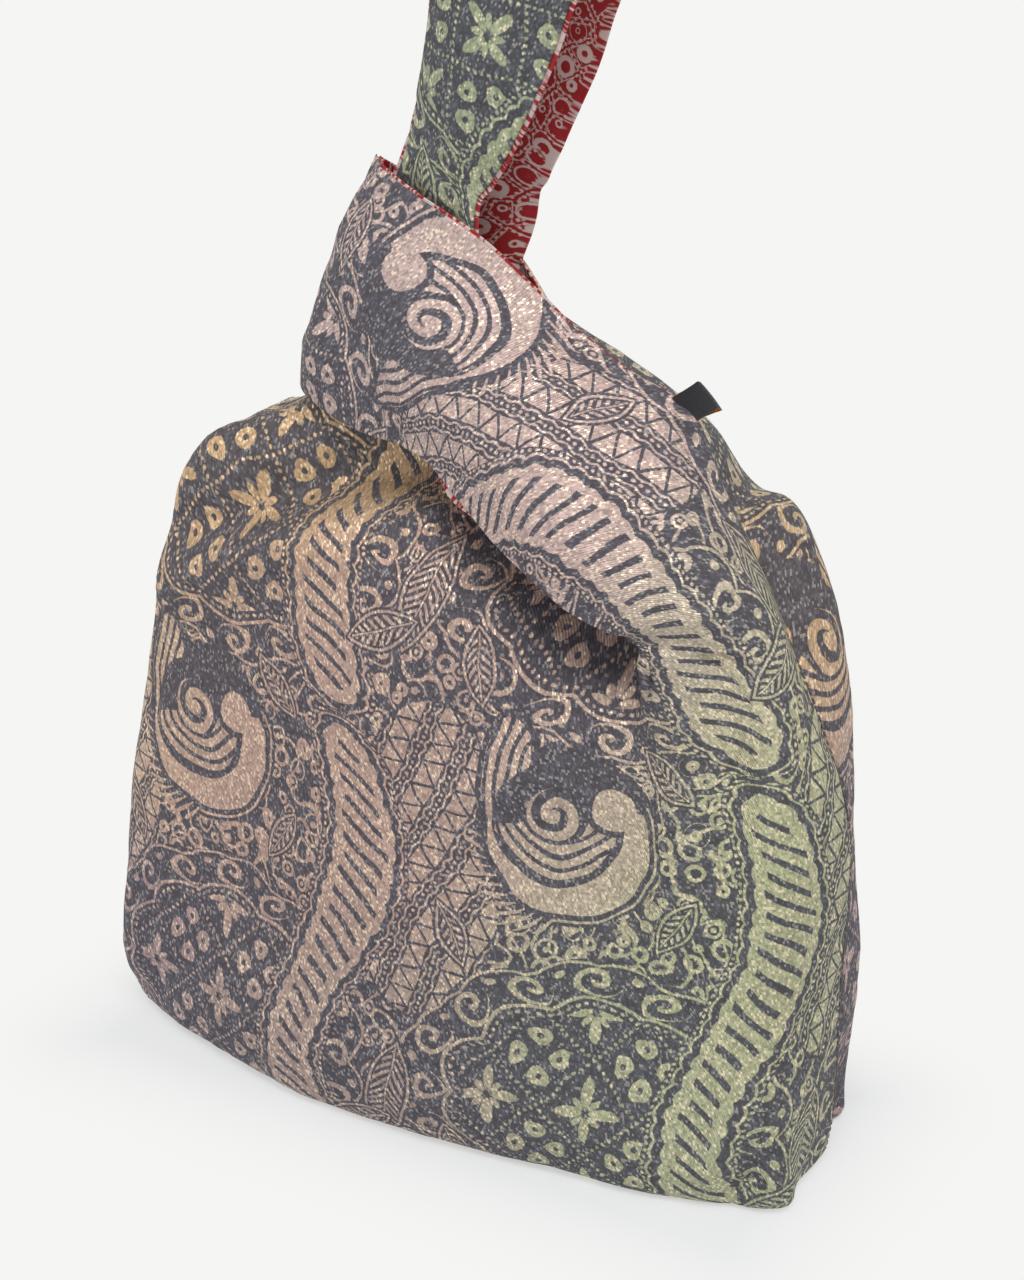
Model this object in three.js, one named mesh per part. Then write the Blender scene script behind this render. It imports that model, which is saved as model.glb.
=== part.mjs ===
// A knot bag. Two alike cloth panels, front and back, are each cut in one piece with half of a wide short
// strap on the right and half of a long strap on the left. The short strap is turned over the mouth and
// closes round the long strap as a loop, so that the long strap runs up through it and draws the mouth shut.
// The base is boxed: its corners are sewn across, and its seam runs along the middle of the underside.
// Millimetres. +X is the right of the front panel, -Y is the front, +Z is up, and the base rests on Z = 0.

import * as THREE from 'three';

// Cloth: the brocade with its fused interlining outside, and the printed cotton inside
const brocadeThickness = 1.6;
const liningThickness = 0.8;
const layerGap = 0.3;
const liningInset = 0.6;

// Sewn seams: a thread that lies between the two edges that it joins
const threadRadius = 0.3;
const threadClearance = 0.3;
const threadSides = 6;

// Body, from the bottom edge to the bottom of the mouth
const baseWidth = 277;
const baseDepth = 76;
const baseShift = 2.5;
const mouthHeight = 200;
const mouthX = 84;
const mouthDepth = 43;
const quarterFullness = 3;

// Right armhole, where the side seam ends and the short strap begins
const armholeX = 92;
const armholeHeight = 250;

// Short strap: the corners of its folded end, how far it bulges out between its edges at its two ends, and
// the directions of the bulge there, turned from the right (0) past the front (90) to the left (180)
const loopEndX = -75;
const loopEndHeight = 257;
const loopWidth = 90;
const loopTilt = 21.5;
const loopCrown = 20;
const loopEndCrown = 6;
const bulgeTurnStart = 30;
const bulgeTurnEnd = 180;
const bulgeRise = 0.15;
const bulgeShares = [0.33, 0.68];

// Left shoulder and the root of the long strap, where it enters the loop
const shoulderX = -106;
const shoulderHeight = 224;
const entryX = -66;
const entryHeight = 257;
const entryWidth = 70;
const entrySlope = 16;
const entryDepth = 17;
const entryGap = 0.4;

// Neck: where the long strap leaves the loop and folds
const neckX = -10;
const neckHeight = 334;
const neckWidth = 38;
const neckTilt = 23;
const neckDepth = 3.1;
const neckReach = 3.2;
const neckGap = 0.5;

// Long strap, from the neck over its arch
const strapWidth = 68;
const strapRise = 152;
const strapDrift = 48;
const strapSpread = 24;
const strapCrown = 4;

// Woven label in the right armhole
const labelWidth = 11;
const labelLength = 13;
const labelRibbon = 0.4;
const labelFold = 0.4;
const labelPlace = 0.27;
const labelGap = 0.6;

// Steps of the lofts
const sideLanes = 2;
const frontLanes = 10;
const rightLanes = 3;
const strapLanes = 6;
const bodyRows = 12;
const baseRows = 2;
const shoulderRows = 7;
const rootRows = 7;
const loopRows = 15;
const strapRows = 18;

const seamInset = threadRadius + threadClearance;
const liningTop = brocadeThickness + layerGap;
const clothDepth = liningTop + liningThickness;
const radians = THREE.MathUtils.degToRad;
const point = (x, y, z) => new THREE.Vector3(x, y, z);
const leftX = baseShift - baseWidth / 2;
const rightX = baseShift + baseWidth / 2;

// Cross sections of the front panel from the bottom edge up. Height is a share of mouthHeight, left and
// right are shares of the half base width, corner and belly are shares of the half base depth, tuck is how
// far each corner lies inside its seam, and puff is how far each side bulges past it.
const sections = [
  {
    height: 0, left: 1, right: 1, corner: 1, belly: 1.32,
    tuckLeft: 0, tuckRight: 0, puffLeft: 0, puffRight: 0,
  },
  {
    height: 0.12, left: 1.05, right: 1.02, corner: 1.13, belly: 1.5,
    tuckLeft: 3, tuckRight: 7, puffLeft: 1, puffRight: 0,
  },
  {
    height: 0.35, left: 1.035, right: 1.02, corner: 1.06, belly: 1.53,
    tuckLeft: 3, tuckRight: 12, puffLeft: 2, puffRight: -1,
  },
  {
    height: 0.65, left: 0.965, right: 1.02, corner: 1, belly: 1.44,
    tuckLeft: 3, tuckRight: 14, puffLeft: 3, puffRight: -2,
  },
  {
    height: 0.84, left: 0.92, right: 0.93, corner: 0.94, belly: 1.31,
    tuckLeft: 3, tuckRight: 7, puffLeft: 3, puffRight: 2,
  },
  {
    height: 1, left: 0.87, right: 0.82, corner: 0.85, belly: 1.14,
    tuckLeft: 3, tuckRight: -2, puffLeft: 4, puffRight: 8,
  },
];

// The edge of the mouth and the edge of the armhole on the short strap: share of the way to the folded end,
// how far it bows up from the straight line, and its depth in front of the middle plane.
const mouthEdge = [
  [0.06, 3, 49], [0.15, 3, 50], [0.3, 6, 47], [0.46, 11, 43],
  [0.62, 14, 36], [0.79, 7, 26], [0.92, 1, 15], [0.985, 0, 6],
];
const armholeEdge = [
  [-0.144, -13, 0], [0.02, 0, 0], [0.12, 8, 3], [0.28, 9, 5],
  [0.47, 9, 7], [0.68, 12, 13], [0.86, 7, 14], [0.96, 2, 7],
];

function smooth(points, place) {
  return new THREE.CatmullRomCurve3(points, false, 'catmullrom').getPoint(place / (points.length - 1));
}

// Points at equal steps along one stretch of a smooth curve, both ends included
function steps(points, from, to, count) {
  const fine = [];
  const samples = 12 * count;
  for (let i = 0; i <= samples; i++) {
    fine.push(smooth(points, from + ((to - from) * i) / samples));
  }
  const reach = [0];
  for (let i = 1; i <= samples; i++) {
    reach.push(reach[i - 1] + fine[i].distanceTo(fine[i - 1]));
  }
  const result = [];
  let i = 1;
  for (let k = 0; k <= count; k++) {
    const goal = (reach[samples] * k) / count;
    while (i < samples && reach[i] < goal) {
      i++;
    }
    const share = (goal - reach[i - 1]) / (reach[i] - reach[i - 1]);
    result.push(fine[i - 1].clone().lerp(fine[i], share));
  }
  return result;
}

// The control points of one body section, from the left seam round the front to the right seam
function bodyRib(section) {
  const height = section.height * mouthHeight;
  const left = baseShift + ((leftX - baseShift) * section.left);
  const right = baseShift + ((rightX - baseShift) * section.right);
  const corner = (-baseDepth / 2) * section.corner;
  const belly = (-baseDepth / 2) * section.belly;
  const cornerLeft = left + section.tuckLeft;
  const cornerRight = right - section.tuckRight;
  return [
    point(left, 0, height),
    point(left - section.puffLeft, corner / 2, height),
    point(cornerLeft, corner, height),
    point((baseShift + cornerLeft) / 2, (belly + corner) / 2 - quarterFullness, height),
    point(baseShift, belly, height),
    point(mouthX, THREE.MathUtils.lerp(belly, corner, mouthX / cornerRight) + quarterFullness, height),
    point(cornerRight, corner, height),
    point(right + section.puffRight, corner / 2, height),
    point(right, 0, height),
  ];
}

// A point on the straight line from a to b in the plane of the panel, bowed up from it, at a depth
function bowed(a, b, [share, bow, depth]) {
  const along = point(b.x - a.x, 0, b.z - a.z);
  const up = point(along.z, 0, -along.x).normalize();
  if (up.z < 0) {
    up.negate();
  }
  return point(a.x, 0, a.z).addScaledVector(along, share).addScaledVector(up, bow).setY(-depth);
}

// Control points of the short strap's ribs, each from the mouth's edge to the armhole's edge
function loopRibs() {
  const mouthBottom = point(mouthX, -mouthDepth, mouthHeight);
  const endLow = point(loopEndX, 0, loopEndHeight);
  const tilt = radians(loopTilt);
  const endHigh = endLow.clone().add(point(Math.sin(tilt), 0, Math.cos(tilt)).multiplyScalar(loopWidth));
  const armhole = point(armholeX, 0, armholeHeight);
  const ribs = [];
  for (let k = 0; k <= mouthEdge.length; k++) {
    const last = k === mouthEdge.length;
    const low = last ? endLow.clone() : bowed(mouthBottom, endLow, mouthEdge[k]);
    const high = last ? endHigh.clone() : bowed(armhole, endHigh, armholeEdge[k]);
    const turn = radians(THREE.MathUtils.lerp(bulgeTurnStart, bulgeTurnEnd, k / mouthEdge.length));
    const crown = THREE.MathUtils.lerp(loopCrown, loopEndCrown, k / mouthEdge.length);
    const out = point(Math.cos(turn), -Math.sin(turn), bulgeRise).multiplyScalar(crown);
    ribs.push([low, ...bulgeShares.map((share) => low.clone().lerp(high, share).add(out)), high]);
  }
  return ribs;
}

// Control points of one rib of the left shoulder, from the side seam to the edge of the mouth
function shoulderRib(seam, mouth, cornerShare, cornerDepth, bellyDepth) {
  const at = (share, depth) => seam.clone().lerp(mouth, share).setY(-depth);
  const puff = at(cornerShare / 2, Math.max(cornerDepth / 2, -seam.y));
  puff.x -= 0.12 * cornerDepth;
  return [
    seam,
    puff,
    at(cornerShare, cornerDepth),
    at(0.4, (cornerDepth + bellyDepth) / 2 + 1),
    at(0.7, bellyDepth),
    mouth,
  ];
}

const neckAcross = point(Math.cos(radians(neckTilt)), 0, -Math.sin(radians(neckTilt)));
const neckUp = point(Math.sin(radians(neckTilt)), 0, Math.cos(radians(neckTilt)));
const neckCentre = point(neckX, 0, neckHeight);

function shoulderRibs() {
  const slope = radians(entrySlope);
  const entry = point(entryX, 0, entryHeight);
  const entryMouth = entry.clone().addScaledVector(point(Math.cos(slope), 0, -Math.sin(slope)), entryWidth);
  entryMouth.setY(-entryDepth);
  const mouthSide = point(THREE.MathUtils.lerp(mouthX, entryMouth.x, 0.42), -0.77 * mouthDepth, 0);
  mouthSide.z = THREE.MathUtils.lerp(mouthHeight, entryMouth.z, 0.22);
  const neckLeft = neckCentre.clone().addScaledVector(neckAcross, -neckWidth / 2).setY(-neckDepth);
  const neckRight = neckCentre.clone().addScaledVector(neckAcross, neckWidth / 2).setY(-neckDepth);
  const insideLeft = entry.clone().lerp(neckLeft, 0.42).setY(-neckDepth);
  const insideRight = entryMouth.clone().lerp(neckRight, 0.46).setY(-0.65 * entryDepth);
  return [
    shoulderRib(point(shoulderX, 0, shoulderHeight), mouthSide, 0.02, 0.68 * baseDepth / 2, 0.8 * mouthDepth),
    shoulderRib(entry, entryMouth, 0.12, 0.5 * entryDepth, entryDepth),
    shoulderRib(insideLeft, insideRight, 0.15, 0.35 * entryDepth, 0.68 * entryDepth),
    shoulderRib(neckLeft, neckRight, 0.2, neckDepth, neckDepth),
  ];
}

const bodyRibs = sections.map(bodyRib);
const leftNet = [...bodyRibs.map((rib) => rib.slice(0, 6)), ...shoulderRibs()];
const rightNet = [...bodyRibs.map((rib) => rib.slice(5)), ...loopRibs()];
const mouthRow = sections.length - 1;
const entryRow = mouthRow + 2;
const neckRow = leftNet.length - 1;
leftNet[mouthRow][5] = point(mouthX, -mouthDepth, mouthHeight);
rightNet[mouthRow][0] = leftNet[mouthRow][5].clone();

// The smooth rib of a net at a place between its rows
function ribAt(net, row) {
  return net[0].map((_, column) => smooth(net.map((rib) => rib[column]), row));
}

function leftRow(row) {
  const rib = ribAt(leftNet, row);
  return [...steps(rib, 0, 2, sideLanes), ...steps(rib, 2, 5, frontLanes).slice(1)];
}

function rightRow(row) {
  const rib = ribAt(rightNet, row);
  return [...steps(rib, 0, 1, rightLanes), ...steps(rib, 1, 3, sideLanes).slice(1)];
}

// An open sheet of four-sided faces that share their corners
class Sheet {
  constructor() {
    this.points = [];
    this.faces = [];
  }

  addRow(row) {
    const first = this.points.length;
    this.points.push(...row);
    return row.map((_, i) => first + i);
  }

  join(lower, upper) {
    for (let i = 0; i + 1 < lower.length; i++) {
      this.faces.push([lower[i], lower[i + 1], upper[i + 1], upper[i]]);
    }
  }

  // At each corner, the way to move for one millimetre of thickness. Corners at the middle plane, where the
  // front meets the back, move within that plane.
  insets() {
    const sums = this.points.map(() => point(0, 0, 0));
    const normals = this.faces.map((face) => {
      const [a, b, c, d] = face.map((i) => this.points[i]);
      return c.clone().sub(a).cross(d.clone().sub(b)).normalize();
    });
    this.faces.forEach((face, f) => face.forEach((i) => sums[i].add(normals[f])));
    sums.forEach((sum, i) => {
      if (Math.abs(this.points[i].y) < seamInset / 2) {
        sum.y = 0;
      }
      sum.normalize();
    });
    const least = this.points.map(() => 1);
    this.faces.forEach((face, f) => face.forEach((i) => {
      least[i] = Math.min(least[i], Math.max(0.6, normals[f].dot(sums[i])));
    }));
    return sums.map((sum, i) => sum.divideScalar(-least[i]));
  }

  // The closed solid between two depths under the sheet, moved off the middle plane for the seam
  solid(top, bottom, side) {
    const insets = this.insets();
    const count = this.points.length;
    const positions = [];
    for (const depth of [top, bottom]) {
      this.points.forEach((p, i) => {
        const q = p.clone().addScaledVector(insets[i], depth);
        const y = Math.min(q.y, -seamInset);
        positions.push(q.x, side * y, q.z);
      });
    }
    const index = [];
    const flip = side < 0;
    const triangle = (a, b, c) => (flip ? index.push(a, c, b) : index.push(a, b, c));
    const edges = new Map();
    for (const [a, b, c, d] of this.faces) {
      triangle(a, b, c);
      triangle(a, c, d);
      triangle(count + a, count + c, count + b);
      triangle(count + a, count + d, count + c);
      for (const [from, to] of [[a, b], [b, c], [c, d], [d, a]]) {
        edges.set(`${from},${to}`, [from, to]);
      }
    }
    for (const [from, to] of edges.values()) {
      if (!edges.has(`${to},${from}`)) {
        triangle(from, count + from, to);
        triangle(to, count + from, count + to);
      }
    }
    const geometry = new THREE.BufferGeometry();
    geometry.setAttribute('position', new THREE.Float32BufferAttribute(positions, 3));
    geometry.setIndex(index);
    geometry.computeVertexNormals();
    return geometry;
  }
}

function cloth(color, roughness, metalness) {
  return new THREE.MeshStandardMaterial({ color, roughness, metalness });
}

const brocadeBody = cloth(0x8a7568, 0.55, 0.35);
const brocadeStrap = cloth(0x6d7458, 0.55, 0.35);
const printedLining = cloth(0xb3262b, 0.85, 0);
const sewingThread = cloth(0x5c4c44, 0.8, 0);
const wovenLabel = cloth(0x17171a, 0.7, 0);

const bag = new THREE.Group();

function add(name, geometry, material) {
  const mesh = new THREE.Mesh(geometry, material);
  mesh.name = name;
  bag.add(mesh);
}

// The same sheet as outer cloth and lining, on the front and, mirrored, on the back
function addLayers(name, outer, inner, material) {
  add(`front_${name}`, outer.solid(0, brocadeThickness, 1), material);
  add(`back_${name}`, outer.solid(0, brocadeThickness, -1), material);
  add(`front_${name}_lining`, inner.solid(liningTop, clothDepth, 1), printedLining);
  add(`back_${name}_lining`, inner.solid(liningTop, clothDepth, -1), printedLining);
}

// Half of the base, the body, the left shoulder up to the loop, and the short strap to its folded end.
// The base is cut free from the side walls and stands inside them, as the boxed corners are.
function panelSheet(inset) {
  const sheet = new Sheet();
  const wall = (row) => [...leftRow(row), ...rightRow(row).slice(1)];
  const lanes = sideLanes + frontLanes;
  const first = wall(0);
  const edge = sheet.addRow(first);
  const raise = clothDepth + 2 * seamInset;
  [...edge.slice(0, sideLanes), ...edge.slice(-sideLanes)].forEach((i) => sheet.points[i].setZ(raise));
  let before = edge;
  for (let i = 1; i <= bodyRows; i++) {
    const row = sheet.addRow(wall((mouthRow * i) / bodyRows));
    sheet.join(before, row);
    before = row;
  }
  const base = edge.slice(sideLanes, -sideLanes);
  let outer = base;
  for (let i = baseRows - 1; i >= 0; i--) {
    const row = base.map((k) => {
      const p = sheet.points[k].clone();
      return point(p.x, (p.y * i) / baseRows, 0);
    });
    row[0].x += clothDepth * (1 - i / baseRows);
    row.at(-1).x -= clothDepth * (1 - i / baseRows);
    const added = sheet.addRow(row);
    sheet.join(added, outer);
    outer = added;
  }
  const shoulderEnd = entryRow - inset / leftNet[entryRow][3].distanceTo(leftNet[entryRow - 1][3]);
  let shoulder = before.slice(0, lanes + 1);
  for (let i = 1; i <= shoulderRows; i++) {
    const place = THREE.MathUtils.lerp(mouthRow, shoulderEnd, i / shoulderRows);
    const row = sheet.addRow(leftRow(place));
    sheet.join(shoulder, row);
    shoulder = row;
  }
  let strap = before.slice(lanes);
  for (let i = 1; i <= loopRows; i++) {
    const place = THREE.MathUtils.lerp(mouthRow, rightNet.length - 1, i / loopRows);
    const row = sheet.addRow(rightRow(place));
    sheet.join(strap, row);
    strap = row;
  }
  return sheet;
}

// The part of the long strap that lies inside the loop
function rootSheet(topGap) {
  const sheet = new Sheet();
  const top = neckRow - topGap / leftNet[neckRow][3].distanceTo(leftNet[neckRow - 1][3]);
  let before = null;
  for (let i = 0; i <= rootRows; i++) {
    const place = THREE.MathUtils.lerp(entryRow, top, i / rootRows);
    const row = sheet.addRow(steps(ribAt(leftNet, place), 0, 5, strapLanes));
    if (before) {
      sheet.join(before, row);
    }
    before = row;
  }
  return sheet;
}

// The long strap's front half, from the neck to the seam at the top of its arch: rise and drift are shares
// of strapRise and strapDrift, spread is a share of strapSpread, and width is a share of strapWidth.
const strapStations = [
  { rise: 0.02, drift: 0, spread: 0, width: 0.56, tilt: 1 },
  { rise: 0.085, drift: 0.12, spread: 0.27, width: 0.62, tilt: 1 },
  { rise: 0.17, drift: 0.31, spread: 0.5, width: 0.71, tilt: 1 },
  { rise: 0.315, drift: 0.53, spread: 0.7, width: 0.78, tilt: 0.85 },
  { rise: 0.5, drift: 0.7, spread: 0.87, width: 0.86, tilt: 0.5 },
  { rise: 0.7, drift: 0.85, spread: 1, width: 0.94, tilt: 0.3 },
  { rise: 0.88, drift: 0.96, spread: 0.83, width: 0.98, tilt: 0.12 },
  { rise: 0.975, drift: 0.99, spread: 0.4, width: 1, tilt: 0.05 },
  { rise: 1, drift: 1, spread: 0, width: 1, tilt: 0 },
];

function strapSheet(reach) {
  const start = neckCentre.clone().addScaledVector(neckUp, -reach).setY(-neckDepth);
  const spine = [start, ...strapStations.map(({ rise, drift, spread }, i) => {
    const y = i === strapStations.length - 1 ? 0 : -neckDepth - spread * (strapSpread - neckDepth);
    return point(neckX + drift * strapDrift, y, neckHeight + rise * strapRise);
  })];
  const shapes = [strapStations[0], ...strapStations].map(({ width, tilt }, i) => {
    const angle = radians(neckTilt * tilt);
    return point((width * strapWidth) / 2, angle, i < 3 ? 0 : strapCrown);
  });
  const sheet = new Sheet();
  let before = null;
  for (let i = 0; i <= strapRows; i++) {
    const place = ((spine.length - 1) * i) / strapRows;
    const centre = smooth(spine, place);
    const shape = smooth(shapes, place);
    const ahead = smooth(spine, Math.min(place + 0.05, spine.length - 1));
    const behind = smooth(spine, Math.max(place - 0.05, 0));
    const across = point(Math.cos(shape.y), 0, -Math.sin(shape.y));
    const inward = ahead.sub(behind).cross(across).normalize();
    const row = [];
    for (let lane = 0; lane <= strapLanes; lane++) {
      const share = (2 * lane) / strapLanes - 1;
      const crown = shape.z * share * share;
      row.push(centre.clone().addScaledVector(across, share * shape.x).addScaledVector(inward, crown));
    }
    if (i === strapRows) {
      row.forEach((p) => p.setY(0));
    }
    const added = sheet.addRow(row);
    if (before) {
      sheet.join(before, added);
    }
    before = added;
  }
  return sheet;
}

// A round thread along a smooth line
function thread(points, stepCount) {
  const path = new THREE.CatmullRomCurve3(points, false, 'catmullrom');
  const section = new THREE.Shape();
  for (let i = 0; i < threadSides; i++) {
    const angle = (2 * Math.PI * i) / threadSides;
    const corner = [threadRadius * Math.cos(angle), threadRadius * Math.sin(angle)];
    if (i === 0) {
      section.moveTo(...corner);
    } else {
      section.lineTo(...corner);
    }
  }
  return new THREE.ExtrudeGeometry(section, { extrudePath: path, steps: stepCount, curveSegments: 1 });
}

// A line in the middle plane along one column of a net, under the brocade's outer face
function seamLine(net, column, from, to, side) {
  const line = [];
  const count = 10;
  for (let i = 0; i <= count; i++) {
    const p = smooth(net.map((rib) => rib[column]), THREE.MathUtils.lerp(from, to, i / count));
    line.push(point(p.x + side * brocadeThickness * 0.6, 0, p.z));
  }
  return line;
}

// The woven label: a ribbon folded double, whose ends are sewn to the edge of the armhole. It stands square
// to that edge, in the plane of the armhole.
function label() {
  const place = mouthRow + 1 + labelPlace * mouthEdge.length;
  const edge = rightNet.map((rib) => rib.at(-1));
  const root = smooth(edge, place);
  const along = smooth(edge, place + 0.1).sub(smooth(edge, place - 0.1)).normalize();
  const up = point(along.z, 0, -along.x).normalize();
  const out = up.clone().cross(along).normalize();
  const inner = labelFold / 2;
  const outer = inner + labelRibbon;
  const side = new THREE.Shape();
  side.moveTo(-outer, 0);
  side.lineTo(-outer, labelLength - outer);
  side.absarc(0, labelLength - outer, outer, Math.PI, 0, true);
  side.lineTo(outer, 0);
  side.lineTo(inner, 0);
  side.lineTo(inner, labelLength - outer);
  side.absarc(0, labelLength - outer, inner, 0, Math.PI, false);
  side.lineTo(-inner, 0);
  side.closePath();
  const options = { depth: labelWidth, bevelEnabled: false, curveSegments: 6 };
  const geometry = new THREE.ExtrudeGeometry(side, options);
  geometry.translate(0, labelGap, -labelWidth / 2);
  geometry.applyMatrix4(new THREE.Matrix4().makeBasis(out, up, along));
  geometry.translate(root.x, root.y, root.z);
  return geometry;
}

addLayers('panel', panelSheet(entryGap), panelSheet(entryGap + liningInset), brocadeBody);
addLayers('strap_root', rootSheet(neckReach + neckGap / 2), rootSheet(neckReach + neckGap), brocadeBody);
addLayers('long_strap', strapSheet(neckReach / 3), strapSheet(neckReach), brocadeStrap);

add('side_seam_left', thread(seamLine(leftNet, 0, 0.25, entryRow - 0.4, 1), 24), sewingThread);
add('side_seam_right', thread(seamLine(rightNet, 3, 0.25, mouthRow + 1.8, -1), 24), sewingThread);
const baseLine = baseWidth / 2 - clothDepth - 2;
const baseSeam = [-1, 0, 1].map((side) => point(baseShift + side * baseLine, 0, brocadeThickness / 2));
add('base_seam', thread(baseSeam, 2), sewingThread);
for (const [name, side] of [['corner_seam_left', -1], ['corner_seam_right', 1]]) {
  const x = baseShift + side * (baseWidth / 2 - clothDepth);
  const line = [-1, 0, 1].map((end) => point(x, end * baseDepth * 0.22, clothDepth + seamInset));
  add(name, thread(line, 2), sewingThread);
}
const endRib = rightNet.at(-1).map((p) => point(p.x + brocadeThickness * 0.6, 0, p.z));
add('short_strap_seam', thread(endRib, 8), sewingThread);
const archTop = neckHeight + strapRise - brocadeThickness / 2;
const archSeam = [-0.46, 0, 0.46].map((share) => point(neckX + strapDrift + share * strapWidth, 0, archTop));
add('long_strap_seam', thread(archSeam, 2), sewingThread);
add('woven_label', label(), wovenLabel);

export default bag;
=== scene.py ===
import math

import bpy
import numpy as np
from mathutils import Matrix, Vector, noise


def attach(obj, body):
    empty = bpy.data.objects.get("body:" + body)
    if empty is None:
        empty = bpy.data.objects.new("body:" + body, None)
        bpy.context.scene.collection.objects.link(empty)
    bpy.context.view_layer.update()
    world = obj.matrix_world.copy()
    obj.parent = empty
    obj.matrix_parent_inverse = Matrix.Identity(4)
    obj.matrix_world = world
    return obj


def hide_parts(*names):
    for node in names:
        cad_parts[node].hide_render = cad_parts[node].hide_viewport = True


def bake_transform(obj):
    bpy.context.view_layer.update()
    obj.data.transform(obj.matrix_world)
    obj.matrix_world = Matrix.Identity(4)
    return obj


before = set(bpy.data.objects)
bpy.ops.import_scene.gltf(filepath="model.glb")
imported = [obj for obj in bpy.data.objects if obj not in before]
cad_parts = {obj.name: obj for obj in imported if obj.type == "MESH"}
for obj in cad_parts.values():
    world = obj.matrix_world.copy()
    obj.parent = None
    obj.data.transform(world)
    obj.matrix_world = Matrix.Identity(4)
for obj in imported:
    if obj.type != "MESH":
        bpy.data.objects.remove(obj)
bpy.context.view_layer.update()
scene = bpy.context.scene
mm = 0.001

# the sewn bag, in millimetres, as it was cut and as it stands
bagForm = {
    "baseWidth": 277, "baseDepth": 76, "baseShift": 2.5,
    "edgeRadius": 5, "edgeStraight": 110, "edgeTurn": 1.6,
    "mouthHeight": 200, "mouthX": 84, "mouthDepth": 43, "quarterFullness": 3,
    "armhole": (92, 250), "loopEnd": (-75, 257), "loopWidth": 90, "loopTilt": 21.5,
    "loopCrown": (20, 6), "bulgeTurn": (30, 180), "bulgeRise": 0.15, "bulgeShares": (0.33, 0.68),
    "shoulder": (-106, 224), "entry": (-66, 257), "entryWidth": 70, "entrySlope": 16, "entryDepth": 17,
    "neck": (-12.5, 333), "neckWidth": 33, "neckTilt": 23, "neckLeftDepth": 4, "neckRightDepth": 12,
    "mouthBeside": (0.42, 0.77, 0.22), "insideLoop": (0.42, 0.46, 0.65), "puffOut": 0.12,
    "strapWidth": 68, "strapRise": 152.5, "strapDrift": 50, "strapSpread": 24, "strapCrown": 4,
}

# steps of the fine cloth, all whole fours so that every fourth line can be laid out flat
clothSteps = {"side": 20, "front": 96, "right": 24, "body": 100, "shoulder": 24, "root": 48, "strap": 84,
              "loop": 120, "base": 20, "flatEvery": 4}

# cloth layers under the outer face, in millimetres; a peek is how far the lining stands past the brocade at
# an open edge, and how far it rolls over it
layers = {
    "brocade": (0, 1.5), "lining": (1.7, 2.5), "edgeRings": 3,
    "seamNear": 0.3, "seamGroove": 0.9, "seamGap": 0.2,
    "strapPeek": (2.0, 0.9), "strapPeekRows": 14, "armholePeek": (1.3, 0.5), "mouthPeek": (-0.8, 0),
    "slipAt": (15, 241), "slip": (4.4, 1.3), "slipReach": 12,
}

# where the cloth is divided so that it can follow the joints
splitPlaces = {"root": 5.5, "neck": 9}
signs = {"front": 1, "back": -1}


def direction(degrees):
    a = math.radians(degrees)
    return np.array([math.cos(a), 0.0, -math.sin(a)])


def turned(degrees):
    a = math.radians(degrees)
    return np.array([math.sin(a), 0.0, math.cos(a)])


def smooth(points, places):
    points = np.asarray(points, float)
    ends = np.concatenate([[2 * points[0] - points[1]], points, [2 * points[-1] - points[-2]]])
    places = np.clip(np.asarray(places, float), 0, len(points) - 1)
    i = np.minimum(places.astype(int), len(points) - 2)
    f = (places - i).reshape(-1, *[1] * (points.ndim - 1))
    a, b, c, d = (ends[i + k] for k in range(4))
    return 0.5 * (2 * b + (c - a) * f + (2 * a - 5 * b + 4 * c - d) * f**2 + (3 * b - 3 * c + d - a) * f**3)


def evenSteps(points, start, stop, count):
    fine = smooth(points, np.linspace(start, stop, 8 * count + 1))
    reach = np.concatenate([[0], np.cumsum(np.linalg.norm(np.diff(fine, axis=0), axis=1))])
    goals = np.linspace(0, reach[-1], count + 1)
    return np.stack([np.interp(goals, reach, fine[:, k]) for k in range(3)], -1)


def mix(a, b, share):
    return a + (b - a) * share


def bell(distance, reach):
    return np.exp(-(distance / reach) ** 2)


def unit(vectors):
    return vectors / np.maximum(np.linalg.norm(vectors, axis=1, keepdims=True), 1e-9)


def placed(name, data):
    made = bpy.data.objects.new(name, data)
    scene.collection.objects.link(made)
    return made


# height, left, right, corner, belly, tuckLeft, tuckRight, puffLeft, puffRight: shares of the sizes above,
# and in the last four columns millimetres
bodySections = [
    (0, 1.0, 1.0, 1.0, 1.32, 0, 0, 0, 0),
    (0.12, 1.05, 1.02, 1.13, 1.5, 3, 7, 1, 0),
    (0.35, 1.035, 1.02, 1.06, 1.53, 3, 12, 2, -1),
    (0.65, 0.965, 1.02, 1.0, 1.44, 3, 14, 3, -2),
    (0.84, 0.92, 0.93, 0.94, 1.31, 3, 7, 3, 2),
    (1, 0.87, 0.82, 0.85, 1.14, 3, -2, 4, 8),
]
# share of the way to the folded end, bow above the straight line, depth in front of the middle
mouthEdge = [(0.06, 3, 49), (0.15, 3, 50), (0.3, 6, 47), (0.46, 11, 43), (0.62, 14, 36), (0.79, 7, 26),
             (0.92, 1, 15), (0.985, 0, 6)]
armholeEdge = [(-0.144, -13, 0), (0.02, 0, 0), (0.12, 8, 3), (0.28, 9, 5), (0.47, 9, 7), (0.68, 12, 13),
               (0.86, 7, 14), (0.96, 2, 7)]
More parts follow.
